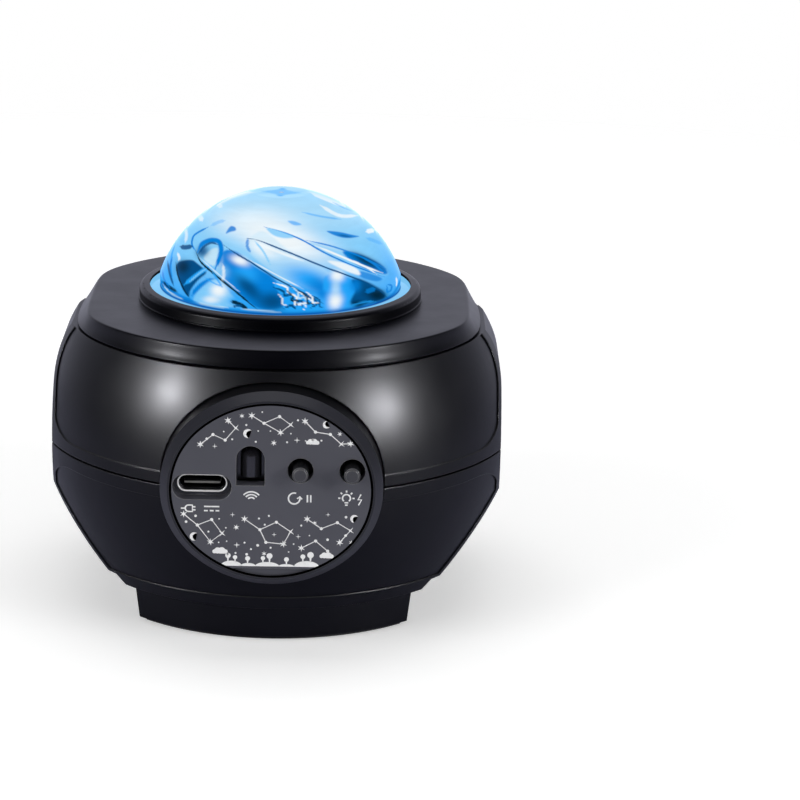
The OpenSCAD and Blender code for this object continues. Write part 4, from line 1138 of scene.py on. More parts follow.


# Partly the lamps' light caught in the ripples and partly painted: white facets paint glints, and the pale top paints
# the background seen through the dome.
FACETS = (
    pool(PALE, 0.6, -14, 72, 52, 20),
    pool(PALE, 0.35, 49, 75, 33, 17),
    pool(WHITE, 1, 2, 56, 43, 15, turn=-17),
    pool(WHITE, 0.5, -20, 70, 33, 13),
    pool(SKY, 0.6, -75, 62, 17, 23),
    pool(AZURE, 0.6, -90, 29, 9, 17),
    pool(AZURE, 0.35, 89, 35, 10, 13),
    patch(PALE, 0.5, 1.4, (-25, 57), (-13, 65), (7, 46), (32, 36), (39, 29), (33, 15), (3, 25), (-11, 35), (-25, 46)),
    pool(AZURE, 1, 23, 25, 22, 10, turn=-20),
    pool(COBALT, 0.95, 31, 20, 12, 7, turn=-20),
    pool(WHITE, 0.8, -14, 49, 13, 6, turn=-30),
    patch(COBALT, 1, 1, (-43, 49), (-31, 46), (-23, 37), (-1, 25), (-5, 21), (2, 15), (3, 4), (-18, 3), (-31, 15),
        (-48, 30), (-47, 40)),
    pool(AZURE, 1, -27, 29, 11, 8),
    pool(DEEP, 0.95, -24, 19, 15, 6, turn=-42),
    pool(DEEP, 1, -6, 9, 13, 8),
    pool(WHITE, 0.95, -31, 40, 8, 4, turn=-20),
    pool(SKY, 0.8, -45, 31, 6, 6),
    pool(PALE, 0.6, -47, 40, 3, 9),
    patch(DEEP, 1, 0.7, (-81, 39), (-68, 41), (-63, 37), (-55, 31), (-63, 25), (-69, 17), (-71, 11), (-75, 17),
        (-79, 29)),
    pool(INK, 0.8, -75, 35, 6, 6),
    ridge(AZURE, 0.99, 1.1, 3.1, (-74, 21), (-64, 29), (-53, 36)),
    ridge(SKY, 0.88, 0.5, 1.2, (-70, 23), (-61, 31), (-54, 35)),
    ridge(COBALT, 0.99, 1.1, 3.6, (-68, 13), (-60, 22), (-50, 26)),
    patch(SKY, 0.9, 1.1, (-69, 10), (-54, 25), (-44, 27), (-40, 16), (-25, 4), (-51, 5), (-65, 8)),
    pool(WHITE, 1, -47, 17, 7, 6),
    pool(WHITE, 0.8, -53, 10, 7, 3),
    pool(AZURE, 0.9, -34, 9, 6, 4),
    ridge(INK, 0.99, 0.7, 2.9, (-38, 9), (-31, 7), (-25, 3)),
    ridge(DEEP, 0.99, 0.5, 1.7, (-37, 5), (-30, 6)),
    patch(AZURE, 1, 1.4, (33, 31), (52, 29), (59, 23), (55, 6), (33, 4), (32, 16)),
    pool(COBALT, 0.8, 32, 15, 4, 4),
    patch(DEEP, 1, 1.3, (53, 27), (62, 27), (73, 22), (85, 14), (73, 9), (57, 6), (53, 10), (58, 19)),
    pool(INK, 1, 75, 15, 11, 5, turn=-10),
    pool(INK, 0.9, 60, 8, 6, 3),
    pool(COBALT, 0.8, 57, 22, 5, 6),
    ridge(AZURE, 0.66, 0.8, 1.5, (53, 6), (66, 10), (75, 10)),
    ridge(COBALT, 0.66, 1.2, 3.6, (65, 17), (73, 20)),
    pool(WHITE, 1, 43, 29, 6, 5),
    pool(WHITE, 1, 42, 10, 6, 7),
    pool(PALE, 0.7, 42, 20, 4, 7),
    patch(AZURE, 1, 0.7, (-6, 23), (3, 25), (17, 17), (32, 9), (26, 3), (2, 2), (3, 10), (-2, 17)),
    pool(SKY, 0.9, 2, 25, 7, 3, turn=-25),
    ridge(DEEP, 1, 0.5, 1.7, (-6, 20), (3, 17), (2, 13), (10, 15), (8, 9), (18, 10), (16, 4)),
    ridge(WHITE, 1, 0.5, 1.4, (-5, 23), (6, 20), (5, 16), (13, 13), (10, 6), (21, 9), (18, 3)),
    ridge(DEEP, 0.99, 0.5, 1.5, (10, 17), (20, 14), (30, 8), (22, 4)),
    ridge(WHITE, 0.99, 0.5, 0.9, (13, 17), (24, 10), (26, 6)),
    ridge(DEEP, 0.99, 0.5, 1.7, (3, 4), (9, 7), (12, 3)),
    patch(SKY, 0.6, 1.1, (18, 57), (47, 47), (80, 37), (85, 29), (60, 33), (32, 46)),
    patch(COBALT, 1, 0.9, (45, 49), (60, 47), (80, 38), (84, 30), (66, 34), (54, 40)),
    pool(INK, 0.9, 66, 41, 15, 4, turn=-24),
    patch(COBALT, 0.8, 0.9, (60, 34), (80, 28), (75, 25), (64, 27), (59, 30)),
    patch(WHITE, 0.9, 0.9, (33, 41), (46, 40), (59, 35), (62, 29), (49, 33)),
    ridge(COBALT, 1, 0.5, 1.2, (-13, 66), (2, 62), (17, 56), (32, 47), (55, 37), (80, 29)),
    ridge(WHITE, 0.99, 0.7, 1.5, (26, 52), (46, 44), (66, 36), (79, 32)),
    ridge(COBALT, 0.88, 0.5, 1.2, (19, 56), (39, 52), (60, 45), (82, 35)),
    patch(SKY, 0.9, 0.9, (-13, 66), (-1, 63), (12, 58), (3, 57), (-6, 59)),
    ridge(DEEP, 1, 0.5, 1.2, (-26, 57), (-18, 56), (-3, 50), (10, 45), (32, 36), (50, 30), (67, 24), (85, 13)),
    ridge(WHITE, 0.77, 1.1, 1.8, (-20, 54), (-3, 47), (17, 40)),
    ridge(COBALT, 0.77, 0.7, 2.2, (-25, 57), (-26, 51), (-23, 46)),
    ridge(SKY, 0.88, 0.8, 1.5, (-20, 55), (-13, 47), (-8, 37)),
    ridge(DEEP, 1, 0.5, 1.2, (-44, 52), (-34, 45), (-23, 39), (-3, 26), (15, 17), (33, 8)),
    ridge(WHITE, 0.88, 0.7, 0.9, (-23, 40), (-3, 29), (17, 19)),
    patch(PALE, 1, 1, (-60, 42), (-53, 49), (-48, 50), (-48, 45), (-50, 35), (-55, 37)),
    pool(DEEP, 0.9, -60, 47, 6, 5, turn=40),
    ridge(COBALT, 1, 1.1, 3.6, (-64, 46), (-61, 53), (-54, 56), (-47, 55), (-45, 48), (-47, 40), (-50, 33)),
    ridge(DEEP, 0.88, 0.7, 1.7, (-63, 45), (-59, 51), (-53, 54), (-48, 52)),
    ridge(INK, 1, 0.5, 1.5, (-65, 47), (-62, 39), (-50, 29), (-31, 14), (-18, 3)),
    ridge(WHITE, 0.66, 0.5, 0.8, (-62, 42), (-48, 30), (-31, 16)),
    ridge(COBALT, 0.99, 0.5, 1.5, (-65, 47), (-69, 52), (-68, 59), (-64, 62), (-56, 66)),
    ridge(DEEP, 0.94, 0.8, 3.6, (-78, 51), (-74, 50), (-68, 51)),
    ridge(SKY, 0.88, 1.1, 1.9, (-78, 52), (-83, 59), (-80, 62)),
    ridge(AZURE, 0.99, 0.7, 1.5, (-82, 54), (-85, 45), (-85, 32), (-83, 23)),
    ridge(COBALT, 0.99, 0.5, 1.5, (-84, 43), (-86, 35), (-84, 25)),
    ridge(INK, 0.99, 0.5, 1.2, (-81, 39), (-79, 27), (-70, 10)),
    patch(DEEP, 0.9, 0.9, (-95, 25), (-90, 23), (-83, 19), (-86, 17), (-94, 20)),
    ridge(WHITE, 0.77, 1.1, 1.9, (-80, 46), (-78, 42), (-79, 40)),
    patch(COBALT, 0.9, 0.6, (-43, 60), (-39, 67), (-35, 66), (-34, 63), (-39, 62)),
    patch(AZURE, 0.7, 0.7, (4, 71), (10, 71), (17, 68), (10, 67)),
    patch(COBALT, 0.95, 0.6, (33, 64), (46, 63), (55, 61), (62, 60), (50, 58), (41, 60)),
    pool(DEEP, 0.7, 49, 60, 6, 1, turn=-8),
    patch(AZURE, 0.62, 0.7, (-24, 97), (-11, 100), (12, 100), (23, 97), (12, 95), (3, 94), (-1, 91), (-5, 95),
        (-13, 96)),
    pool(AZURE, 0.6, -1, 93, 3, 1),
    ridge(WHITE, 0.83, 1.2, 3.6, (22, 95), (36, 89), (50, 84)),
    ridge(WHITE, 0.77, 1.2, 2.7, (30, 84), (45, 75), (60, 77)),
    ridge(AZURE, 0.55, 1.1, 1.5, (16, 78), (29, 75), (46, 73)),
    ridge(AZURE, 0.5, 0.8, 1.4, (40, 87), (50, 82), (59, 80)),
    ridge(WHITE, 0.88, 1.2, 3.6, (66, 64), (73, 66)),
    ridge(AZURE, 0.39, 1.2, 2.7, (66, 59), (79, 55)),
    ridge(WHITE, 0.61, 1.2, 3.6, (-64, 76), (-61, 71)),
    ridge(WHITE, 0.55, 1.2, 3.5, (-50, 85), (-46, 82)),
    ridge(AZURE, 0.39, 1.2, 2.7, (-54, 67), (-48, 70), (-43, 71)),
    ridge(COBALT, 0.88, 0.5, 1.5, (82, 23), (83, 17), (87, 19), (86, 23), (82, 23)),
    ridge(WHITE, 0.77, 0.8, 1.5, (90, 29), (91, 22)),
    ridge(COBALT, 0.9, 1.2, 3.2, (-96, 26), (-88, 18), (-78, 12), (-66, 8)),
    ridge(INK, 0.9, 1.2, 2.6, (-92, 24), (-86, 19), (-80, 16)),
    ridge(DEEP, 0.9, 0.9, 1.6, (-88, 40), (-86, 30), (-82, 20)),
    ridge(COBALT, 0.7, 1.2, 2.2, (96, 30), (91, 18), (84, 12), (72, 7)),
    ridge(INK, 0.95, 0.5, 1.2, (4, 18), (10, 13), (8, 9), (14, 11), (12, 5)),
    ridge(PALE, 0.95, 0.5, 1.1, (8, 21), (14, 16), (13, 11), (19, 13), (18, 7)),
    ridge(INK, 0.95, 0.5, 1.2, (15, 17), (21, 12), (20, 7), (25, 9), (24, 5)),
    ridge(WHITE, 0.95, 0.5, 1, (19, 17), (25, 12), (24, 8), (30, 9)),
    ridge(DEEP, 0.95, 0.5, 1.2, (24, 14), (31, 10), (29, 6), (33, 5)),
    ridge(WHITE, 0.8, 0.5, 1, (-2, 15), (2, 11), (1, 7), (6, 6)),
    ridge(PALE, 0.9, 0.8, 1.3, (-66, 8), (-52, 5), (-40, 4)),
    ridge(PALE, 0.8, 0.8, 1.1, (-30, 3), (-16, 2), (0, 1)),
    ridge(WHITE, 0.7, 1.2, 2.2, (-44, 37), (-43, 30), (-44, 24)),
    ridge(AZURE, 0.8, 0.7, 1.5, (-52, 31), (-47, 24), (-44, 19)),
    ridge(AZURE, 0.7, 0.6, 1.2, (-58, 27), (-50, 22), (-44, 20)),
    ridge(COBALT, 0.9, 0.6, 1.6, (62, 44), (72, 39), (80, 32)),
    ridge(WHITE, 0.9, 0.4, 0.9, (56, 41), (66, 36), (74, 31)),
    ridge(COBALT, 0.9, 0.6, 1.4, (-92, 33), (-91, 26), (-86, 19)),
    ridge(PALE, 0.9, 0.6, 1.2, (-93, 22), (-87, 15), (-76, 10)),
    ridge(WHITE, 0.6, 1.6, 2.4, (-75, 66), (-73, 60), (-74, 54)),
)


@dataclass
class Dome:
    """The lit outer dome: smooth outside and inside, on a flange, with its ripples only drawn in the glow layer.
    Lengths are in millimetres.

    Attributes:
        radius: outer radius of its ball.
        middle: height of the ball's middle.
        crown: radius of the flat crown.
        neck: outer radius of the neck.
        wall: thickness.
        flange: outer radius of the flange.
        flange_low, flange_high: heights of the flange's faces.
        rounding, nick: radius of its upper edge, and how far in the middle of that rounding lies.
        fillet: how far out from the neck and up from the flange each point between them lies.
        foot: height of the spigot's lower end.
        tilt: height angle from which the facets are laid out, in degrees.
        bearing: bearing from which they are laid out, in degrees.
        seam: how far the front's and the back's facets run into each other.
        foot_tint: what the light is multiplied by at the neck's foot.
        foot_low, foot_high: height above the flange at which that starts to fade, and over which it goes.
        low_sky: height by which the gradient is sky blue.
        side_dim: places to the side between which it is less so, and by how much.
        high_pale: heights between which it turns paler, and by how much: partly the lamps' light, partly the pale
            background seen through the dome, painted.
        ring_side, ring_front, ring_room: colours of the flange, and how far out from the neck they start.
        ring_turn: how far to the front it turns from one to the other, in shares of its radius.
        around: number of steps round it.
        crown_rows, rows, neck_rows, inner_rows: steps over the crown, down the ball, down the neck and up inside.
    """

    radius: float = 24.7
    middle: float = 53.8
    crown: float = 5.4
    neck: float = 23.3
    wall: float = 1.6
    flange: float = 26.3
    flange_low: float = 58.4
    flange_high: float = 59.4
    rounding: float = 0.25
    nick: float = 0.07
    fillet: tuple[Point, ...] = ((0.1, 0.08), (0.3, 0.0))
    foot: float = 55.4
    tilt: float = 14.6
    bearing: float = 1.6
    seam: float = 0.12
    foot_tint: Color = (0.05, 0.22, 0.42)
    foot_low: float = 0.1
    foot_high: float = 1.0
    low_sky: float = 48.0
    side_dim: Triple = (60.0, 100.0, 0.55)
    high_pale: Triple = (62.0, 90.0, 0.35)
    ring_side: str = "#7cc6f5"
    ring_front: str = "#1d86d8"
    ring_room: float = 0.05
    ring_turn: Point = (0.55, 1.0)
    around: int = 432
    crown_rows: int = 8
    rows: int = 150
    neck_rows: int = 10
    inner_rows: int = 24

    def profile(self) -> tuple[list[Point], int]:
        """Traces the closed section, from the crown's middle outwards, down and back inside.

        Returns:
            The (radius, height) points, and how many of them are on the outer face.
        """
        top = self.middle + math.sqrt(self.radius**2 - self.crown**2)
        neck_z = self.middle + math.sqrt(self.radius**2 - self.neck**2)
        steep, flat = math.asin(self.neck / self.radius), math.asin(self.crown / self.radius)
        outer = [(self.crown * i / self.crown_rows, top) for i in range(1, self.crown_rows + 1)]
        for i in range(1, self.rows + 1):
            a = flat + (steep - flat) * i / self.rows
            outer.append((self.radius * math.sin(a), self.middle + self.radius * math.cos(a)))
        rim, face, n, r = self.flange, self.flange_high, self.neck_rows, self.rounding
        outer += [(self.neck, neck_z - (neck_z - face - r) * i / n) for i in range(1, n + 1)]
        outer += [(self.neck + out, face + up) for out, up in self.fillet]
        outer += [(rim - r, face), (rim - self.nick, face - self.nick), (rim, face - r), (rim, self.flange_low)]
        inner_r, bore = self.radius - self.wall, self.neck - self.wall
        section = outer + [(self.neck, self.flange_low), (self.neck, self.foot), (bore, self.foot)]
        section.append((bore, self.middle + math.sqrt(inner_r**2 - bore**2)))
        for i in range(1, self.inner_rows):
            a = math.asin(bore / inner_r) * (1 - i / self.inner_rows)
            section.append((inner_r * math.sin(a), min(top - self.wall, self.middle + inner_r * math.cos(a))))
        return section, len(outer)

    def build(self, mats: Materials) -> Object:
        """Makes the dome and lets it stand for the plain one.

        Args:
            mats: the materials by slot.

        Returns:
            The finished piece.
        """
        section, outer = self.profile()
        mesh = revolve("rippled_dome", section, self.around)
        co = np.array([v.co for v in mesh.vertices]) / MM
        self.colour(mesh, co, np.arange(len(co)) // self.around < outer)
        obj = piece("rippled_dome", mesh, mats["dome_clear"])
        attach(obj, CASING)
        obj.visible_diffuse = obj.visible_glossy = False
        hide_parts("dome_lens")
        return obj

    def colour(self, mesh: Mesh, co: np.ndarray, shown: np.ndarray) -> None:
        """Writes the facets' light to the mesh.

        Args:
            mesh: the dome's mesh.
            co: its points, in millimetres.
            shown: which of them are on the outer face.
        """
        out = co[shown] - (0.0, 0.0, self.middle)
        out /= np.maximum(np.linalg.norm(out, axis=1), TINY)[:, None]
        light, total = np.zeros((len(out), 3)), np.zeros((len(out), 1))
        for turn in (0.0, math.pi):
            bearing = math.radians(self.bearing) + turn
            right = np.array([math.cos(bearing), math.sin(bearing), 0.0])
            up = np.cross(way(bearing, math.radians(self.tilt)), right)
            share = smooth(out @ way(bearing, 0.0), -self.seam, self.seam)[:, None]
            light += share * self.facets(100 * out @ right, 100 * out @ up)
            total += share
        light /= total
        foot_z = self.flange_high + self.foot_low
        foot = smooth(co[shown, 2], foot_z, foot_z + self.foot_high)
        glow = np.zeros((len(co), 4))
        glow[shown, :3] = light * blend(np.array(self.foot_tint), 1.0, foot)
        ring = shown & (np.hypot(co[:, 0], co[:, 1]) > self.neck + self.ring_room)
        ahead = smooth(-co[ring, 1] / self.flange, *self.ring_turn)
        glow[ring, :3] = blend(linear(self.ring_side), linear(self.ring_front), ahead)
        glow[:, 3] = shown
        layer = mesh.color_attributes.new("glow", "FLOAT_COLOR", "POINT")
        layer.data.foreach_set("color", glow.astype(np.float32).ravel())

    def facets(self, across: np.ndarray, up: np.ndarray) -> np.ndarray:
        """Lays every facet over the dome's own gradient.

        Args:
            across: places to the right, in percent of the radius.
            up: places upwards.

        Returns:
            A linear colour for each point.
        """
        side, far_side, dim = self.side_dim
        low = smooth(up, 0.0, self.low_sky) * (1 - dim * smooth(np.abs(across), side, far_side))
        light = blend(linear(AZURE.value), linear(SKY.value), low)
        high, top, pale = self.high_pale
        light = blend(light, linear(PALE.value), pale * smooth(up, high, top))
        for facet in FACETS:
            light = blend(light, linear(facet.tone.value), facet.cover(across, up))
        return light


@dataclass
class WaveLens:
    """The turning lens below the dome: a fluted ball cap on a flange, from a Geometry Nodes tree.

    Attributes:
        radius: outer radius of its ball, in millimetres, as all lengths here.
        wall: thickness.
        flange_low, flange_high: heights of its flange.
        middle: height of the ball's middle.
        flutes: number of ripples.
        depth: depth of a ripple.
        twist: turn of a ripple from rim to crown, in degrees.
        pegs, peg_sides: number of pegs that hold it in its gear, and of each one's sides.
        peg_ring, peg_r, peg_low: radius of their ring, their own radius and the height of their lower end.
        rim_in: inner radius of the flange.
        steps: number of points round it, the first one twice.
        outer_rows, inner_rows: steps up the outer and the inner face.
        fade_in, fade_out: rows over which the ripples grow from the rim and fade towards the crown.
        weld: distance within which points are merged, in metres.
    """

    radius: float = 20.9
    wall: float = 1.5
    flange_low: float = 50.1
    flange_high: float = 51.5
    middle: float = 53.5
    flutes: int = 9
    depth: float = 0.8
    twist: float = 75.0
    pegs: int = 6
    peg_sides: int = 20
    peg_ring: float = 19.65
    peg_r: float = 0.6
    peg_low: float = 48.9
    rim_in: float = 18.1
    steps: int = 325
    outer_rows: int = 90
    inner_rows: int = 24
    fade_in: int = 12
    fade_out: int = 30
    weld: float = 2e-6

    def section(self) -> Mesh:
        """Makes the closed section as points, with how far each is carved by the ripples.

        Returns:
            A mesh of loose points: radius, share of the ripples' depth, and height.
        """
        outer, inner, n = self.radius, self.radius - self.wall, self.outer_rows
        pts = [(self.rim_in, self.flange_low, 0.0), (outer, self.flange_low, 0.0), (outer, self.middle, 0.0)]
        for i in range(1, n + 1):
            a = math.pi / 2 * i / n
            share = min(1.0, i / self.fade_in) * min(1.0, (n - i) / self.fade_out)
            pts.append((outer * math.cos(a), self.middle + outer * math.sin(a), share))
        for i in range(self.inner_rows, 0, -1):
            a = math.pi / 2 * i / self.inner_rows
            pts.append((inner * math.cos(a), self.middle + inner * math.sin(a), 0.0))
        pts += [(inner, self.flange_high, 0.0), (self.rim_in, self.flange_high, 0.0)]
        mesh = bpy.data.meshes.new("wave_section")
        mesh.from_pydata([(r * MM, s, z * MM) for r, z, s in pts], [], [])
        return mesh

    def recipe(self) -> Recipe:
        """Builds the tree that turns the section and carves the flutes.

        Returns:
            The tree.
        """
        g = Recipe("wave_lens_recipe", dict.fromkeys(("Steps", "Rows", "Pegs"), int) | dict.fromkeys(
            ("Flutes", "Depth", "Twist", "Middle", "Peg Ring", "Peg Radius", "Peg Low", "Peg High"), float))
        give = g.given
        counts = {"Vertices X": give["Steps"], "Vertices Y": g.plus(give["Rows"], 1.0)}
        grid = g.add("GeometryNodeMeshGrid", {"Size X": 1.0, "Size Y": 1.0, **counts}).outputs["Mesh"]
        cell = g.position()
        turn = g.times(g.plus(g.axis(cell, "X"), 0.5), 2 * math.pi)
        row = g.math("ROUND", g.times(g.plus(g.axis(cell, "Y"), 0.5), give["Rows"]))
        look_up = {"Geometry": give["Geometry"], "Value": g.position(), "Index": g.math("MODULO", row, give["Rows"])}
        at = g.out("GeometryNodeSampleIndex", look_up, data_type="FLOAT_VECTOR")
        out, rise = g.axis(at, "X"), g.minus(g.axis(at, "Z"), give["Middle"])
        phase = g.plus(g.times(turn, give["Flutes"]), g.times(g.math("ARCTAN2", rise, out), give["Twist"]))
        hump = g.math("ABSOLUTE", g.math("SINE", g.times(phase, 0.5)))
        carve = g.times(g.minus(1.0, hump), g.axis(at, "Y"))
        reach = g.math("SQRT", g.plus(g.times(rise, rise), g.times(out, out)))
        keep = g.math("DIVIDE", g.minus(reach, g.times(carve, give["Depth"])), g.math("MAXIMUM", reach, TINY))
        radius = g.times(out, keep)
        place = g.xyz(g.times(radius, g.math("SINE", turn)), g.times(radius, g.times(g.math("COSINE", turn), -1.0)),
                      g.plus(give["Middle"], g.times(rise, keep)))
        ripple = {"Geometry": grid, "Name": "ripple", "Value": carve}
        held = g.out("GeometryNodeStoreNamedAttribute", ripple, data_type="FLOAT", domain="POINT")
        skin = g.out("GeometryNodeSetPosition", {"Geometry": held, "Position": place})
        skin = g.out("GeometryNodeMergeByDistance", {"Geometry": skin, "Distance": self.weld})
        ring = g.out("GeometryNodeMeshCircle", {"Vertices": give["Pegs"], "Radius": give["Peg Ring"]})
        tall = g.minus(give["Peg High"], give["Peg Low"])
        size = {"Vertices": self.peg_sides, "Radius": give["Peg Radius"], "Depth": tall}
        peg = g.add("GeometryNodeMeshCylinder", size).outputs["Mesh"]
        pegs = g.out("GeometryNodeInstanceOnPoints", {"Points": ring, "Instance": peg})
        shift = g.xyz(z=g.times(g.plus(give["Peg High"], give["Peg Low"]), 0.5))
        pegs = g.out("GeometryNodeTransform", {"Geometry": pegs, "Translation": shift})
        both = g.add("GeometryNodeJoinGeometry")
        for part in (skin, pegs):
            g.tree.links.new(part, both.inputs[0])
        g.close(both.outputs[0])
        return g

    def build(self, mats: Materials) -> Object:
        """Makes the lens and lets it stand for the plain one.

        Args:
            mats: the materials by slot.

        Returns:
            The finished piece.
        """
        base = self.section()
        mesh = outward(self.recipe().run(
            base, mats["lens_clear"], Steps=self.steps, Rows=len(base.vertices), Flutes=float(self.flutes),
            Depth=self.depth * MM, Twist=self.flutes * self.twist / 90.0, Middle=self.middle * MM, Pegs=self.pegs,
            Peg_Ring=self.peg_ring * MM, Peg_Radius=self.peg_r * MM, Peg_Low=self.peg_low * MM,
            Peg_High=(self.flange_low + self.flange_high) / 2 * MM))
        obj = piece("fluted_lens", mesh, mats["lens_clear"])
        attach(obj, WAVE_ROTOR)
        obj.visible_diffuse = obj.visible_glossy = False
        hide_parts("wave_lens")
        return obj


# --------------------------------------------------------------------- cover
@dataclass
class SoftCover:
    """The cover: a flat top on a leaning side with soft corners, a raised dome seat and a locating lip.

    Lengths are in millimetres.

    Attributes:
        radius: radius of its round front and back at the foot.
        half: half width between its flanks at the foot.
        lean: how far the flanks lean inwards by the top.
        foot, top: heights of its lower edge and flat top.
        hole, hole_foot: radius of the hole below the dome, and height of its lower edge.
        seat, seat_top: radius and height of the raised seat.
        corner: sharpness of the corners in plan.
        outer: how far in from the foot's outline each ring of the outer skin lies, and its rise above the foot.
        inner: the same for the inner skin and the lip.
        around: number of steps round it.
    """

    radius: float = 40.34
    half: float = 39.47
    lean: float = 2.5
    foot: float = 53.7
    top: float = 57.2
    hole: float = 23.4
    hole_foot: float = 55.0
    seat: float = 26.3
    seat_top: float = 58.4
    corner: float = 34.0
    outer: tuple[Point, ...] = (
        (3.0, 3.5), (0.9, 3.5), (0.69, 3.495), (0.56, 3.46), (0.47, 3.38), (0.42, 3.26), (0.4, 3.1), (0.37, 2.5),
        (0.33, 1.9), (0.26, 1.3), (0.17, 0.8), (0.07, 0.45), (0.0, 0.24), (0.0, 0.22), (0.04, 0.11), (0.12, 0.03),
        (0.24, 0.0),
    )
    inner: tuple[Point, ...] = ((2.55, 0.0), (2.55, -1.6), (2.75, -1.8), (4.3, -1.8), (4.3, 1.3), (3.0, 1.3))
    around: int = 720

    def ring(self, reach: np.ndarray | float, height: float) -> np.ndarray:
        """Traces a ring of points, as far from the axis as reach says."""
        turn = self.turn()
        return np.stack([reach * np.sin(turn), -reach * np.cos(turn), np.full_like(turn, height)], 1)

    def turn(self) -> np.ndarray:
        """Angles of the steps, counted from the panel side."""
        return np.arange(self.around) * 2 * math.pi / self.around

    def outline(self, inset: float, rise: float) -> np.ndarray:
        """Traces one ring of the skin.

        Args:
            inset: how far in from the foot's outline it lies.
            rise: its height above the foot.

        Returns:
            Its points, in millimetres.
        """
        half = self.half - self.lean * rise / (self.top - self.foot)
        flank = half / np.maximum(np.abs(np.sin(self.turn())), TINY)
        reach = (self.radius**-self.corner + flank**-self.corner) ** (-1 / self.corner) - inset
        return self.ring(reach, self.foot + rise)

    def build(self, mats: Materials) -> Object:
        """Makes the cover and lets it stand for the plain one.

        Args:
            mats: the materials by slot.

        Returns:
            The finished piece.
        """
        loops = [self.ring(self.hole, self.hole_foot), self.ring(self.hole, self.seat_top),
                 self.ring(self.seat, self.seat_top), self.ring(self.seat, self.top)]
        loops += [self.outline(inset, rise) for inset, rise in self.outer + self.inner]
        obj = piece("soft_cover", tube("soft_cover", loops), mats["cover_grey"], crease=40.0)
        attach(obj, CASING)
        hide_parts("top_cover")
        return obj


# --------------------------------------------------------------- panel print
def arc(cx: float, cz: float, r: float, start: float, end: float, steps: int = 12) -> list[Point]:
    """Points on an arc, with angles in degrees counter-clockwise from the right."""
    angles = [math.radians(start + (end - start) * i / steps) for i in range(steps + 1)]
    return [(cx + r * math.cos(a), cz + r * math.sin(a)) for a in angles]


def cloud(cx: float, cz: float, size: float, puffs: Sequence[Triple], foot: float, steps: int = 72) -> list[Point]:
    """Traces the outline round overlapping puffs with a flat foot.

    Args:
        cx, cz: the cloud's middle.
        size: its scale.
        puffs: across, up and radius of each puff.
        foot: height of the flat foot.
        steps: number of points.

    Returns:
        One closed outline, counter-clockwise.
    """
    outline = []
    for i in range(steps):
        a = 2 * math.pi * i / steps
        dx, dz = math.cos(a), math.sin(a)
        reach = 0.0
        for x, z, r in puffs:
            off = r * r - (x * dz - z * dx) ** 2
            if off > 0.0:
                reach = max(reach, x * dx + z * dz + math.sqrt(off))
        if dz < 0.0:
            reach = min(reach, foot / dz)
        outline.append((cx + size * reach * dx, cz + size * reach * dz))
    return outline


def rays(count: int, long: float, short: float, turn: float = 90.0) -> list[Point]:
    """Outline of a star with the given number of rays."""
    return [arc(0, 0, short if i % 2 else long, turn + 180 * i / count, turn, 1)[0] for i in range(2 * count)]


class Motif(Enum):
    """Shapes of the printed marks, of unit size."""

    STAR = (tuple(rays(6, 1.0, 0.36)),)
    SPARKLE = (tuple(rays(4, 1.0, 0.22)),)
    DOT = (tuple(arc(0, 0, 1.0, 0, 337.5, 15)),)
    CRESCENT = (tuple(arc(0, 0, 1.0, 57, 303, 20) + arc(0.52, 0, 0.84, 272, 88, 16)),)


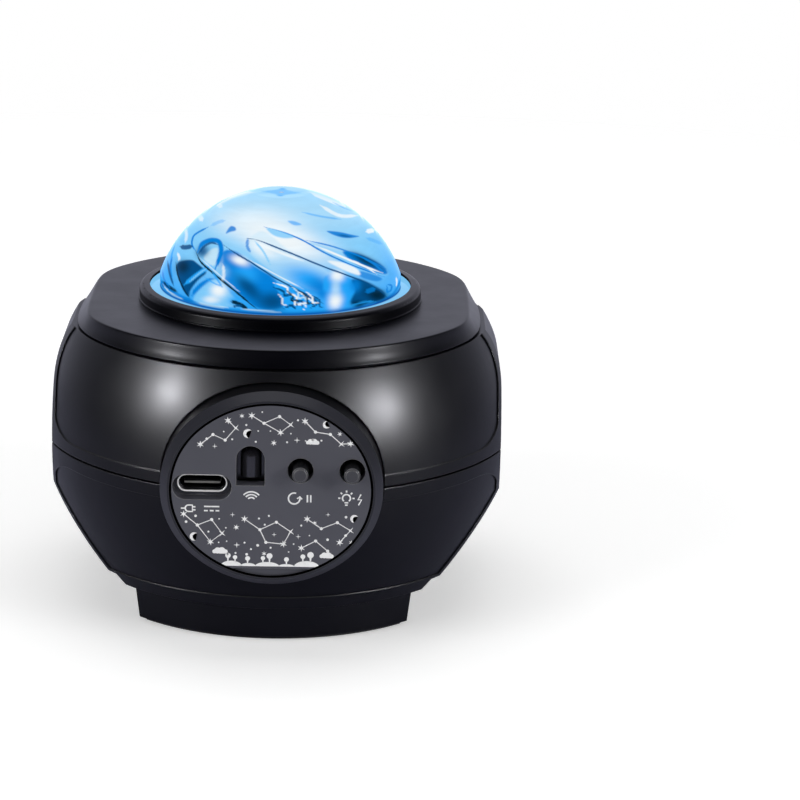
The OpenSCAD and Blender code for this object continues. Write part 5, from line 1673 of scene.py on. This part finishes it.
@dataclass
class PanelPrint:
    """White print on the face plate: a night sky of constellations, and pictograms for the controls.

    Attributes:
        face: how far the plate's front is from the middle, in millimetres, as all lengths here.
        middle: height of the plate's middle.
        film: thickness of the print.
        line: width of the constellations' lines.
        stroke: width of the pictograms' strokes.
        shift: how far the pictograms are moved across.
        star_lines: courses of the constellations' lines.
        star_turn: how much further each of their stars is turned, in degrees.
        crescents, sparkles, stars: across, up, size and turn of the marks that stand alone.
        clouds: across, up and scale of each cloud.
        puffs, cloud_foot: across, up and radius of a cloud's puffs, and height of its foot.
        ground: height of the hills' foot.
        hills: across, half width and height of each hill.
        trees: across, foot above the ground and crown radius of each round tree.
        trunk, crown: half width of a tree's trunk, and height of its crown's middle in crown radii.
        seed, tries, corner: seed, number and farthest places, left, low, right and high, of the loose dots.
        dust, gap: sizes of the loose dots, and how far they stay from other marks.
        oval: half sizes of the oval that they stay in.
        bands: the two heights between which they stay below the controls, and the one above which they stay.
    """

    face: float = 47.9
    middle: float = 32.9
    film: float = 0.06
    line: float = 0.2
    stroke: float = 0.3
    shift: float = -0.4
    star_lines: tuple[tuple[Point, ...], ...] = (
        ((-12.9, 8.7), (-10.6, 10.6), (-8.4, 9.6), (-6.5, 11.9), (-7.9, 13.3)),
        ((-3.6, 14.3), (-1.4, 12.9), (1.4, 14.2), (3.4, 12.7), (1.6, 11.2), (-1.4, 12.9)),
        ((6.0, 13.4), (7.9, 11.4), (10.6, 11.0), (12.6, 9.2), (14.3, 9.3)),
        ((-15.9, -4.6), (-13.4, -6.7), (-10.8, -5.6), (-8.9, -8.2), (-11.0, -9.9), (-13.4, -6.7)),
        ((-4.8, -5.4), (-2.0, -7.4), (1.0, -5.9), (3.6, -7.7), (2.3, -10.1), (-0.9, -9.8), (-2.0, -7.4)),
        ((6.6, -5.2), (9.2, -7.0), (12.1, -5.8), (14.5, -7.3), (12.6, -9.6)),
        ((5.6, -10.8), (8.2, -9.4), (10.4, -11.3)),
    )
    star_turn: float = 13.0
    crescents: tuple[Quad, ...] = (
        (-4.3, 10.9, 0.85, 20), (9.9, 12.8, 0.7, -25), (-14.0, -8.9, 0.8, 10), (15.2, -5.0, 0.75, 30),
    )
    sparkles: tuple[Quad, ...] = (
        (-10.3, 8.4, 0.5, 0), (4.6, 9.8, 0.6, 0), (-6.2, -10.4, 0.6, 0), (5.0, -8.6, 0.5, 0), (0.6, -8.3, 0.45, 0),
        (-7.0, -4.6, 0.5, 0), (10.4, -4.3, 0.45, 0),
    )
    stars: tuple[Quad, ...] = (
        (0.4, 9.2, 0.6, 8), (12.3, 11.1, 0.5, 20), (-5.4, 14.2, 0.5, 0), (-6.3, -7.0, 0.6, 11), (14.7, -9.6, 0.5, 5),
        (8.0, -5.9, 0.45, 0), (-1.2, -12.0, 0.5, 0),
    )
    clouds: tuple[Triple, ...] = ((-9.3, -11.8, 0.8), (10.2, -12.4, 0.75), (7.4, 9.3, 0.7))
    puffs: tuple[Triple, ...] = ((-1.2, 0.1, 0.5), (-0.5, 0.35, 0.75), (0.45, 0.3, 0.85), (1.25, 0.1, 0.55))
    cloud_foot: float = -0.4
    ground: float = -14.45
    hills: tuple[Triple, ...] = (
        (-7.2, 1.9, 1.0), (-4.1, 1.4, 0.6), (-0.6, 2.2, 0.85), (2.9, 1.5, 0.5), (6.6, 2.3, 1.15),
    )
    trees: tuple[Triple, ...] = (
        (-7.8, 0.9, 0.5), (-6.5, 0.8, 0.4), (-4.2, 0.5, 0.45), (-1.4, 0.7, 0.4), (-0.2, 0.8, 0.55), (2.9, 0.4, 0.45),
        (5.9, 1.0, 0.45), (7.3, 1.0, 0.6),
    )
    trunk: float = 0.1
    crown: float = 2.2
    seed: int = 11
    tries: int = 420
    corner: Quad = (-17, -15, 17, 16)
    dust: tuple[float, ...] = (0.14, 0.19, 0.25)
    gap: float = 1.25
    oval: Point = (17.0, 15.3)
    bands: Triple = (-12.3, -4.7, 8.3)

    def spot(self, x: float, z: float) -> Place:
        """Gives a place on the plate's face, in metres."""
        return (x * MM, -self.face * MM, (self.middle + z) * MM)

    def points(self, name: str, rows: Sequence[Quad]) -> Mesh:
        """Makes the places of one motif's marks.

        Args:
            name: the mesh's name.
            rows: across, up, size and turn in degrees of each mark.

        Returns:
            A mesh of loose points with size and turn on them.
        """
        x, z, size, turn = np.array(rows, float).T
        mesh = bpy.data.meshes.new(name)
        mesh.from_pydata([self.spot(*at) for at in zip(x, z)], [], [])
        for key, values in (("size", size * MM), ("turn", np.radians(turn))):
            mesh.attributes.new(key, "FLOAT", "POINT").data.foreach_set("value", values.astype(np.float32))
        return mesh

    def stamp_recipe(self) -> Recipe:
        """Builds the tree that stamps one motif on every point.

        Returns:
            The tree.
        """
        g = Recipe("stamp_recipe", {"Motif": Object, "Flatness": float})
        size, turn = (g.out("GeometryNodeInputNamedAttribute", {"Name": key}, data_type="FLOAT")
                      for key in ("size", "turn"))
        motif = g.add("GeometryNodeObjectInfo", {"Object": g.given["Motif"]}).outputs["Geometry"]
        stamp = {"Points": g.given["Geometry"], "Instance": motif, "Rotation": g.xyz(y=turn),
                 "Scale": g.xyz(size, g.given["Flatness"], size)}
        g.close(g.out("GeometryNodeInstanceOnPoints", stamp))
        return g

    def line_recipe(self) -> Recipe:
        """Builds the tree that turns courses of points into flat lines of ink.

        Returns:
            The tree.
        """
        g = Recipe("line_recipe", {"Width": float, "Film": float, "Face": float})
        curve = g.out("GeometryNodeMeshToCurve", {"Mesh": g.given["Geometry"]})
        half = g.times(g.given["Width"], 0.5)
        ring = g.out("GeometryNodeCurvePrimitiveCircle", {"Resolution": 8, "Radius": half}, mode="RADIUS")
        nib = {"Curve": curve, "Profile Curve": ring, "Fill Caps": True}
        stroke = g.out("GeometryNodeCurveToMesh", nib)
        at, face = g.position(), g.given["Face"]
        flat = g.math("DIVIDE", g.given["Film"], g.given["Width"])
        y = g.math("MULTIPLY_ADD", g.plus(g.axis(at, "Y"), face), flat, g.times(face, -1.0))
        place = g.xyz(g.axis(at, "X"), y, g.axis(at, "Z"))
        g.close(g.out("GeometryNodeSetPosition", {"Geometry": stroke, "Position": place}))
        return g

    def courses(self, name: str, lines: Iterable[Sequence[Point]]) -> Mesh:
        """Makes courses of edges on the plate's face from lists of points.

        Args:
            name: the mesh's name.
            lines: the courses.

        Returns:
            A mesh of edges.
        """
        co, edges = [], []
        for line in lines:
            edges += [(len(co) + i, len(co) + i + 1) for i in range(len(line) - 1)]
            co += [self.spot(x, z) for x, z in line]
        mesh = bpy.data.meshes.new(name)
        mesh.from_pydata(co, edges, [])
        return mesh

    def pictograms(self) -> list[list[Point]]:
        """Draws a plug and a direct-current sign, a receiver, a motor sign and a lamp sign.

        Returns:
            The course of each stroke.
        """
        plug = [arc(-14.6, -3.5, 0.62, 90, 270), [(-14.6, -2.88), (-13.9, -2.88), (-13.9, -4.12), (-14.6, -4.12)],
                [(-13.9, -3.2), (-13.35, -3.2)], [(-13.9, -3.8), (-13.35, -3.8)], [(-15.22, -3.5), (-16.0, -3.5)]]
        current = [[(-11.8, -3.1), (-9.0, -3.1)], [(-11.8, -3.9), (-11.1, -3.9)], [(-10.75, -3.9), (-10.05, -3.9)],
                   [(-9.7, -3.9), (-9.0, -3.9)]]
        waves = [arc(-3.2, -2.0, r, 40, 140, 10) for r in (0.75, 1.3, 1.85)]
        motor = [arc(4.6, -1.3, 1.05, 70, 380, 22), [(5.15, -1.35), (5.62, -0.94), (6.0, -1.45)]]
        pause = [[(7.0, -0.6), (7.0, -2.0)], [(7.6, -0.6), (7.6, -2.0)]]
        lamp = [arc(14.1, -1.1, 0.72, -50, 230, 16), [(13.75, -1.95), (14.45, -1.95)], [(13.85, -2.4), (14.35, -2.4)]]
        beams = [[arc(14.1, -1.1, r, a, a, 1)[0] for r in (1.1, 1.5)] for a in (0, 45, 90, 135, 180)]
        bolt = [[(16.75, -0.3), (16.2, -1.35), (16.85, -1.35), (16.3, -2.4)]]
        signs = plug + current + waves + motor + pause + lamp + beams + bolt
        return [[(x + self.shift, z) for x, z in stroke] for stroke in signs]

    def marks(self) -> dict[Motif, list[Quad]]:
        """Lays out the sky: stars where the lines meet, loose marks between them, and clouds.

        Returns:
            Rows of across, up, size and turn for each motif.
        """
        sky: dict[Motif, list[Quad]] = {motif: [] for motif in Motif}
        cycle = ((Motif.STAR, 0.72), (Motif.DOT, 0.3), (Motif.DOT, 0.3), (Motif.SPARKLE, 0.8))
        for line in self.star_lines:
            for i, (x, z) in enumerate(dict.fromkeys(line)):
                motif, size = cycle[i % len(cycle)]
                sky[motif].append((x, z, size, self.star_turn * i))
        sky[Motif.CRESCENT] += self.crescents
        sky[Motif.SPARKLE] += self.sparkles
        sky[Motif.STAR] += self.stars
        rng = np.random.default_rng(self.seed)
        taken = [row[:2] for rows in sky.values() for row in rows]
        for x, z in rng.uniform(self.corner[:2], self.corner[2:], (self.tries, 2)):
            if self.room(x, z) and all(math.hypot(x - a, z - b) > self.gap for a, b in taken):
                taken.append((x, z))
                sky[Motif.DOT].append((x, z, float(rng.choice(self.dust)), 0.0))
        return sky

    def shapes(self) -> list[list[Point]]:
        """Traces the clouds and the hills with their round trees.

        Returns:
            Their closed outlines.
        """
        made = [cloud(x, z, size, self.puffs, self.cloud_foot) for x, z, size in self.clouds]
        turns = np.radians(range(0, 181, 10))
        for x, half, high in self.hills:
            made.append([(x + half * math.cos(a), self.ground + high * math.sin(a)) for a in turns])
        for x, low, r in self.trees:
            foot = self.ground + low
            crown = arc(x, foot + self.crown * r, r, -70, 250, 20)
            made.append([(x - self.trunk, foot), (x + self.trunk, foot), *crown])
        return made

    def room(self, x: float, z: float) -> bool:
        """Says whether a loose mark may stand there, clear of the rim and the controls.

        Args:
            x: its place across.
            z: its place up.

        Returns:
            True where it may.
        """
        in_oval = (x / self.oval[0]) ** 2 + (z / self.oval[1]) ** 2 < 1.0
        low, low_end, high = self.bands
        return in_oval and (low < z < low_end or z > high)

    def build(self, mats: Materials) -> list[Object]:
        """Makes the print.

        Args:
            mats: the materials by slot.

        Returns:
            The finished pieces.
        """
        ink, film, face = mats["ink"], self.film * MM, self.face * MM
        lines, stamp = self.line_recipe(), self.stamp_recipe()
        drawn = {"print_star_lines": (self.star_lines, self.line), "print_pictograms": (self.pictograms(), self.stroke)}
        made = []
        for name, (strokes, width) in drawn.items():
            mesh = lines.run(self.courses(name, strokes), ink, Width=width * MM, Film=film, Face=face)
            made.append(piece(name, mesh, ink))
        for motif, rows in self.marks().items():
            name = "print_" + motif.name.lower()
            shape = put("motif", prism("motif", motif.value, 1.0))
            made.append(piece(name, stamp.run(self.points(name, rows), ink, Motif=shape, Flatness=film), ink))
            bpy.data.objects.remove(shape)
        land = prism("print_land", [[self.spot(*at)[::2] for at in shape] for shape in self.shapes()], film)
        land.transform(Matrix.Translation((0.0, -face, 0.0)))
        made.append(piece("print_land", land, ink))
        for obj in made:
            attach(obj, CASING)
        return made


@dataclass
class PanelTrim:
    """Fine parts of the panel: a dark line round its plate, which is painted shade for the groove there, and the front
    of the inlet. Lengths are in millimetres.

    Attributes:
        middle: height of the panel's middle.
        half_w, half_h: half sizes of the drum.
        face: how far the plate's front is from the middle.
        seam_in, groove_shade_out, seam_w, seam_film: how far the dark line of painted groove shade lies in from the
        drum and before the plate's front, its width and its thickness.
        inlet: across and up of the inlet's middle.
        shell: width and height of its shell.
        wall: the shell's thickness.
        back, front: distances between which its front part reaches.
        lip: how far the rounding of its front reaches back.
        lip_share: shares of half the wall and of that reach, at the rounding's middle.
        bends: number of steps round each end of the shell.
        tip, tip_in, tip_edge: sizes of the tongue's front part, how far its middle is behind the shell's front,
            and its bevel.
    """

    middle: float = 32.9
    half_w: float = 20.4
    half_h: float = 18.45
    face: float = 47.9
    seam_in: float = 2.0
    groove_shade_out: float = 0.03
    seam_w: float = 0.48
    seam_film: float = 0.08
    inlet: Point = (-12.6, 1.0)
    shell: Point = (9.2, 3.4)
    wall: float = 0.26
    back: float = 45.2
    front: float = 46.7
    lip: float = 0.12
    lip_share: Point = (0.7, 0.25)
    bends: int = 20
    tip: Triple = (6.6, 1.6, 0.6)
    tip_in: float = 1.4
    tip_edge: float = 0.12

    def oval(self, inset: float, steps: int = 180) -> list[Point]:
        """Traces the drum's oval of four arcs.

        Args:
            inset: how far in from the drum the line lies.
            steps: number of steps round it.

        Returns:
            Its points about the panel's middle, the first one repeated at the end.
        """
        diag, diff = math.hypot(self.half_w, self.half_h), self.half_w - self.half_h
        end_r = (diag - diff) / 2 * diag / self.half_w
        side_r = (diag + diff) / 2 * diag / self.half_h
        low, out = side_r - self.half_h, self.half_w - end_r
        meet = out * (side_r - inset) / (side_r - end_r)
        points = []
        for i in range(steps + 1):
            a = 2 * math.pi * i / steps
            dx, dz = abs(math.cos(a)), abs(math.sin(a))
            side = math.sqrt((side_r - inset) ** 2 - (low * dx) ** 2) - low * dz
            end = math.sqrt(max(0.0, (end_r - inset) ** 2 - (out * dz) ** 2)) + out * dx
            reach = side if side * dx < meet else end
            points.append((reach * math.cos(a), reach * math.sin(a)))
        return points

    def seam(self) -> Mesh:
        """Makes the flat dark line round the plate: painted shade standing in for the shaded groove between the plate
        and the bezel.

        Returns:
            Its mesh.
        """
        depth = self.face + self.groove_shade_out
        pen = PanelPrint(face=depth, middle=self.middle)
        course = pen.courses("plate_seam", [self.oval(self.seam_in)])
        return pen.line_recipe().run(course, None, Width=self.seam_w * MM, Film=self.seam_film * MM, Face=depth * MM)

    def sleeve(self) -> Mesh:
        """Makes the front part of the inlet's shell, with a rounded lip.

        Returns:
            Its mesh.
        """
        half, front, (w, h) = self.wall / 2, self.front, self.shell
        turns = [math.radians(-90 + 180 * i / self.bends) for i in range(self.bends + 1)]
        thin, reach = self.lip_share
        edge = [(half, self.back), (half, front - self.lip), (half * thin, front - self.lip * reach)]
        loops = []
        for grow, depth in [(-g, d) for g, d in edge] + [(0.0, front)] + edge[::-1]:
            r, straight = (h - self.wall) / 2 + grow, (w - h) / 2
            right = [(straight + r * math.cos(t), r * math.sin(t)) for t in turns]
            loops.append([(self.inlet[0] + x, -depth, self.middle + self.inlet[1] + z)
                          for x, z in right + [(-x, -z) for x, z in right]])
        return tube("inlet_lip", loops)

    def tongue(self) -> Mesh:
        """Makes the front part of the inlet's tongue, with bevelled edges.

        Returns:
            Its mesh.
        """
        bm = bmesh.new()
        bmesh.ops.create_cube(bm, size=1.0)
        place = Vector((self.inlet[0], self.tip_in - self.front, self.middle + self.inlet[1]))
        for v in bm.verts:
            v.co = (place + v.co * Vector(self.tip)) * MM
        bmesh.ops.bevel(bm, geom=bm.edges, offset=self.tip_edge * MM, segments=3, profile=0.5, affect="EDGES")
        return outward(bpy.data.meshes.new("inlet_tip"), bm)

    def build(self, mats: Materials) -> list[Object]:
        """Makes the trim.

        Args:
            mats: the materials by slot.

        Returns:
            The finished pieces.
        """
        rows = (
            # The first row is painted shade: a dark film where the groove round the plate lies in shade.
            ("plate_seam", self.seam(), "black_satin", "gap_black"),
            ("inlet_lip", self.sleeve(), "tin_plate", "tin_plate"),
            ("inlet_tip", self.tongue(), "socket_black", "socket_black"),
        )
        made = []
        for name, mesh, slot, finish in rows:
            obj = piece(name, mesh, mats[finish])
            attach(obj, CASING)
            made.append(obj)
        return made


def main() -> None:
    """Builds the studio and every piece, in order."""
    logging.basicConfig(level=logging.INFO, format="%(name)s: %(message)s")
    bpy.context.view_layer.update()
    studio = Studio()
    studio.build()
    mats = {name: finish.material() for name, finish in library().items()}
    for name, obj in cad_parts.items():
        slot = obj.material_slots[0].material.name.split(".")[0]
        obj.material_slots[0].material = mats[slot]
        log.info("%s wears %s", name, slot)
    dome = Dome().build(mats)
    WaveLens().build(mats)
    cover = SoftCover().build(mats)
    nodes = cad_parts
    studio.part_sheen((cover, nodes["dome_collar"]), (nodes["panel_bezel"], nodes["speaker_bezel"], dome))
    PanelPrint().build(mats)
    PanelTrim().build(mats)


if __name__ == "__main__":
    main()
